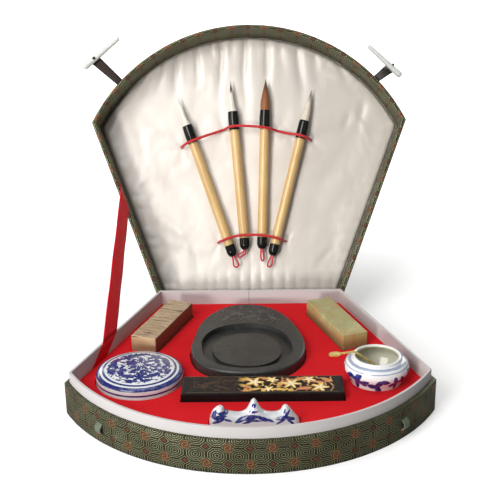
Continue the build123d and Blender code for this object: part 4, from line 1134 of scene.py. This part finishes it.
def ribbon_stay():
    """One ribbon in four pieces: two glued ends, and two free halves, the lower carried by the base and the
    upper by the lid.
    """
    front = Vector((-sin(SIDE), -cos(SIDE), 0))
    inward = Vector((cos(SIDE), -sin(SIDE), 0))
    rim_up = Vector((-sin(SIDE), cos(SIDE) * SIN, cos(SIDE) * COS))
    wall_in = Vector((cos(SIDE), sin(SIDE) * SIN, sin(SIDE) * COS))
    low = base_point(COLLAR_IN / cos(SIDE) - BACK_WIDTH / 2 - STAY_LOW * SLOPE, -STAY_LOW, COLLAR_TOP)
    high = lid_point(BOARD_IN / cos(SIDE) - BACK_WIDTH / 2 - STAY_HIGH * SLOPE, STAY_HIGH, -0.3)
    high += wall_in * 0.1 * MM
    run = (high - low).normalized()
    low_angle, high_angle = acos(-run.dot(front)), acos(run.dot(rim_up))
    drop, tuck = 15, 12
    low_tail = low + (front * (drop / tan(low_angle)) + Vector((0, 0, -drop))) * MM
    high_tail = high + (rim_up * (tuck / tan(high_angle)) + LID_DEEP * tuck) * MM
    k, n, tail = 8, 26, 5
    places = [2 * i / k - 1 for i in range(k + 1)]

    def section(p, along, off, angle):
        reach = along * (STAY_WIDTH / 2 / sin(angle))
        return [p + (reach * c + off * 0.25) * MM for c in places]

    rows = [(section(low_tail.lerp(low, s / 4), front, inward, low_angle), inward) for s in range(tail)]
    starts, ends = section(low, front, inward, low_angle), section(high, rim_up, wall_in, high_angle)
    for t in (s / n for s in range(1, n)):
        normal = inward.lerp(wall_in, t).normalized()
        ease = sin(pi * t)
        rows.append(([a.lerp(b, t) + normal * (0.45 * (1 - c * c) + 0.25 * sin(t * 19 + c)) * ease * MM
                      for a, b, c in zip(starts, ends, places)], normal))
    for t in (s / 4 for s in range(tail)):
        sunk = wall_in * 0.17 * MM * min(1, 4 * t)
        row = section(high.lerp(high_tail, t), rim_up, wall_in, high_angle)
        rows.append(([p - sunk for p in row], wall_in))
    half = tail + n // 2 - 1
    mat = ribbon("stay_satin", (0.72, 0.01, 0.022), (0.54, 0.007, 0.015), (0.64, 0.008, 0.016), 0.7,
                 STAY_WIDTH)
    for name, part, body, anchor, thick in (
        ("lower_end", rows[:tail], "base", None, 0.22),
        ("lower", rows[tail - 1:half + 1], "base", low - run * 7 * MM, 0.22),
        ("upper", rows[half:-3], "lid", high + run * 26 * MM, 0.22),
        ("upper_end", rows[-4:], "lid", None, 0.1),
    ):
        o, long = band("ribbon_stay_" + name, part, [STAY_WIDTH] * len(part), thick, mat, body,
                       "ribbon_stay", start=name != "upper", end=name != "lower")
        outward(o)
        if anchor:
            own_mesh(o)
        "collar_left" if body == "base" else "lid_left_board"


def hinge_strip():
    """Spine cloth glued down the back of the base and the lid."""
    width, k, steps = BACK_WIDTH - 4, 40, range(7)
    pts = [Vector((0, DEPTH / 2 + 0.27, BASE_HEIGHT - 12.3 + 2 * s)) * MM for s in steps]
    pts += [lid_point(0, -0.32, 0.3 + 2 * s) for s in steps]
    across = [LID_X * ((i / k - 0.5) * width) * MM for i in range(k + 1)]
    rows = []
    for a, p, b in zip(pts[:1] + pts, pts, pts[1:] + pts[-1:]):
        rows.append(([p + x for x in across], (b - a).normalized().cross(LID_X)))
    mat = ribbon("spine_cloth", (0.13, 0.13, 0.075), (0.06, 0.06, 0.035), (0.05, 0.05, 0.03), 0.8, width,
                 ribs_along=True)
    o, run = band("spine_strip", rows, [width] * len(rows), 0.22, mat, None, "hinge_cloth")
    outward(o)
    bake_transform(o)


# ---------------------------------------------------------------- toggles
TAB_LONG, TAB_PAST = 34.8, 2.6          # root to stitch, and past it
TAB_DEPTH, TAB_HALF = 3.5, 0.4          # of the root below the rim, and half the ribbon's thickness
PEG_UNDER = TAB_HALF + 2 * 3.5 + 0.2    # from the ribbon's middle to the far face of the peg


def tube(shell, pa, pb, r0, r1, seg, rings):
    """Add a slightly ringed tube, closed at both ends, to a shell of (verts, faces, uvs)."""
    verts, faces, uvs = shell
    d = (pb - pa).normalized()
    e = d.orthogonal().normalized()
    f = d.cross(e)
    base = len(verts)
    for t in (s / rings for s in range(rings + 1)):
        r = r0 + (r1 - r0) * t
        bulge = 1 + 0.06 * sin(t * pi * 5)
        for j in range(seg):
            w = TURN * j / seg
            verts.append(pa.lerp(pb, t) + (e * cos(w) + f * sin(w)) * r * bulge * MM)
            uvs.append((w * r, t * (pb - pa).length / MM))
    faces += tube_faces(rings + 1, seg, base)


def toggles():
    mat = ribbon("toggle_ribbon", (0.034, 0.017, 0.012), (0.006, 0.004, 0.004), (0.012, 0.006, 0.005), 1.6, 9)
    n = 34
    for side, x, tilt in (("left", -135.4, 0), ("right", 134.6, radians(52))):
        # the root sits on the lid's arc, and the ribbon leaves it outward, tilted towards the lid's back
        away = Vector((x, -sqrt(ARC_R ** 2 - x ** 2))).normalized()
        out = LID_X * away.x - LID_UP * away.y
        across = out.cross(LID_DEEP).normalized()
        root = lid_point(away.x * (ARC_R + 1), -(ARC_Y + away.y * (ARC_R + 1)), TAB_DEPTH)
        heading = out * cos(tilt) + LID_DEEP * sin(tilt)
        normal = heading.cross(across).normalized()
        if normal.dot(LID_DEEP) < 0:
            normal = -normal
        rows, widths = [], []
        for t in (s / n for s in range(n + 1)):
            p = root + (heading * ((TAB_LONG + TAB_PAST) * t) - normal * (0.35 * sin(pi * t))) * MM
            widths.append(8 + 3 * t + 0.16 * sin(t * 60))
            row = [p + across * ((i / 6 - 0.5) * widths[-1]) * MM for i in range(7)]
            rows.append((row, normal))
        node, body = "toggle_ribbon_" + side, "toggle_" + side
        band(node + "_woven", rows, widths, TAB_HALF, mat, body, node, edge=0.55)
        # bead at the root, shank through the peg, and its knot
        shell = verts, faces, uvs = [], [], []
        hub = root + heading * TAB_LONG * MM
        bead = across * 4 * MM
        under, through, knot = (hub - normal * (PEG_UNDER + past) * MM for past in (0.1, 0.2, 0.9))
        tube(shell, root - bead, root + bead, 0.9, 0.9, 14, 10)
        tube(shell, hub, through, 0.78, 0.78, 12, 6)
        tube(shell, under, knot, 1.6, 1.3, 14, 4)
        piece(node + "_knot", verts, faces, uvs, mat, body, node)


# ---------------------------------------------------------------- brush rest
# Crest line of the peaks: x, height
REST_CREST = [
    (-33.9, 30.5), (-32.4, 35.6), (-30.3, 39.3), (-26.1, 42.7), (-22.7, 42.3), (-20.4, 38.6), (-15.2, 36.8),
    (-8.3, 36.2), (-3.4, 39.2), (-0.6, 44.5), (1.5, 48.4), (3.6, 49.4), (5.6, 47.4), (8.3, 42.1),
    (11.8, 37.6), (18, 36), (24, 37.4), (27, 41.9), (29.6, 43.3), (32.5, 41.2), (36.6, 35.6),
    (40.3, 30.2), (41.2, 27),
]
REST_Y, REST_BOTTOM = -250, INSERT_TOP - 6
REST_HALF, REST_RIM = 9.5, 4.6          # half thickness, and width of the rounding along the outline


def catmull(points, per):
    out = []
    for p0, p1, p2, p3 in zip(points[:1] + points, points, points[1:], points[2:] + points[-1:]):
        for t in (s / per for s in range(per)):
            out.append(tuple(0.5 * (2 * b + (c - a) * t + (2 * a - 5 * b + 4 * c - d) * t * t
                                    + (3 * b - a - 3 * c + d) * t ** 3) for a, b, c, d in zip(p0, p1, p2, p3)))
    return out + [points[-1]]


def brush_rest():
    """Porcelain whose thickness rounds off towards its outline and thins towards the peaks."""
    top, rows = catmull(REST_CREST, 4), 30
    edge = [(top[0][0], REST_BOTTOM)] + top + [(top[-1][0], REST_BOTTOM)]

    def to_edge(x, z):
        best = 1e9
        for (ax, az), (bx, bz) in zip(edge, edge[1:]):
            dx, dz = bx - ax, bz - az
            t = clamp(((x - ax) * dx + (z - az) * dz) / max(1e-9, dx * dx + dz * dz))
            best = min(best, hypot(x - ax - dx * t, z - az - dz * t))
        return best

    verts = []
    for x, crest in top:
        front = []
        for k in range(rows):
            z = REST_BOTTOM + (crest - REST_BOTTOM) * (1 - (1 - k / rows) ** 1.9)
            thin = 1 - 0.55 * clamp((z - 27) / 22) ** 0.8
            e = 1 - min(1, to_edge(x, z) / REST_RIM)
            front.append((z, max(0.12, REST_HALF * thin * sqrt(1 - e * e))))
        verts += [base_point(x, REST_Y - half, z) for z, half in front] + [base_point(x, REST_Y, crest)]
        verts += [base_point(x, REST_Y + half, z) for z, half in reversed(front)]
    outward(piece("brush_rest_porcelain", verts, tube_faces(len(top), 2 * rows + 1), None, rest_glaze(),
                  "brush_rest_body", "brush_rest"))


# ---------------------------------------------------------------- make everything
elastic_cords()
hanging_loops()
covers()
satin_pad()
ribbon_stay()
hinge_strip()
toggles()
brush_rest()
black, grey, bone_white = horn(), board(), bone()
for i in range(4):
    hair_bundle(i)
    paint("brush_%d_handle" % (i + 1), bamboo(i))
    paint("brush_%d_ferrule" % (i + 1), black)
    paint("brush_%d_cap" % (i + 1), black)
for side in ("back", "front", "left", "right"):
    paint("base_" + side + "_board", grey)
    paint("lid_" + side + "_board", grey)
for name in ("base_floor_board", "lid_top_board", "lid_lining_card"):
    paint(name, grey)
COLLAR = (0.52, 0.495, 0.492)
white = paper("collar_paper", COLLAR)
for side in ("front", "left", "right"):
    paint("collar_" + side, white)
    if side != "front":
        paint("toggle_peg_" + side, bone_white)
for name, stuff in (
    ("collar_back", paper("collar_paper_seam", COLLAR, -1.5)),
    ("base_bottom_sheet", paper("bottom_paper", (0.035, 0.038, 0.036))),
    ("insert_flock", flock()), ("insert_foam", foam()), ("ink_stone", slate()),
    ("seal_left", seal_left_stone()), ("seal_right", seal_right_stone()), ("paste_lid", paste_lid_glaze()),
    ("paste_bowl", bowl_glaze()), ("cinnabar_paste", cinnabar()), ("water_pot", pot_glaze()),
    ("spoon", metal_brass()), ("ink_stick", stick_ink()), ("clasp_loops", clasp_cloth()),
):
    paint(name, stuff)
worn = bpy.data.objects["ink_stone"].modifiers.new("worn_edges", "BEVEL")
worn.width, worn.segments, worn.limit_method, worn.angle_limit = 0.8 * MM, 2, "ANGLE", radians(40)

# ---------------------------------------------------------------- floor, light, world
WHITE = (1, 1, 1)
LIGHTS = [                          # name, place, target, size, power, colour
    ("key", (-0.8, -1.1, 1.15), (0, 0.05, 0.1), 0.9, 23.5, (1, 0.985, 0.97)),
    ("front_low", (-0.85, -1.45, 0.22), (0, -0.1, 0.04), 0.3, 18, (1, 0.99, 0.97)),
    ("left", (-1.6, -0.35, 0.45), (0, 0, 0.12), 0.7, 4, (1, 0.99, 0.97)),
    ("right", (1.5, -1.1, 1.15), (0, 0, 0.08), 0.8, 0.8, (0.96, 0.98, 1)),
    ("top", (-0.1, 0.1, 1.7), (0, 0.05, 0), 0.9, 7, WHITE),
    ("back", (0.9, 1.7, 0.9), (0, 0.1, 0.12), 1, 14, (1, 0.99, 0.98)),
    ("back_low", (-1.1, 1.5, 0.5), (0, 0.1, 0.12), 0.8, 7, WHITE),
]


def stage():
    """A pale floor that glows to white away from the box, a white backdrop with dim fill light, and lamps."""
    me = bpy.data.meshes.new("floor")
    r = 6
    me.from_pydata([(-r, -r, 0), (r, -r, 0), (r, r, 0), (-r, r, 0)], [], [(0, 1, 2, 3)])
    me.materials.append(bpy.data.materials.new("floor_white"))
    g = Tree(me.materials[0])
    seen = g.make("LightPath", out="Is Camera Ray")
    far = g.make("VectorMath", {0: g.make("NewGeometry", out="Position")}, "Value", operation="LENGTH")
    rise = g.make("MapRange", {"Value": far, "From Min": 0.22, "From Max": 0.75, "To Min": 0.25, "To Max": 1})
    g.end(g.make("AddShader", {
        0: g.make("BsdfDiffuse", {"Color": g.mix(seen, (0.42, 0.42, 0.42), (0.84, 0.84, 0.84))}),
        1: g.make("Emission", {"Strength": seen * rise})}))
    link(bpy.data.objects.new("floor", me))

    world = bpy.context.scene.world = bpy.data.worlds.new("studio")
    g = Tree(world, "OutputWorld")
    g.end(g.make("MixShader", {0: g.make("LightPath", out="Is Camera Ray"),
                               1: g.make("Background", {"Color": WHITE, "Strength": 0.22}),
                               2: g.make("Background", {"Color": WHITE, "Strength": 1})}))

    for name, place, target, size, power, tint in LIGHTS:
        data = bpy.data.lights.new(name, "AREA")
        data.shape, data.size, data.energy, data.color = "SQUARE", size, power, tint
        o = link(bpy.data.objects.new(name, data))
        o.location = place
        o.rotation_euler = (Vector(place) - Vector(target)).to_track_quat("Z", "Y").to_euler()


stage()
bpy.context.scene.view_settings.view_transform = "Standard"
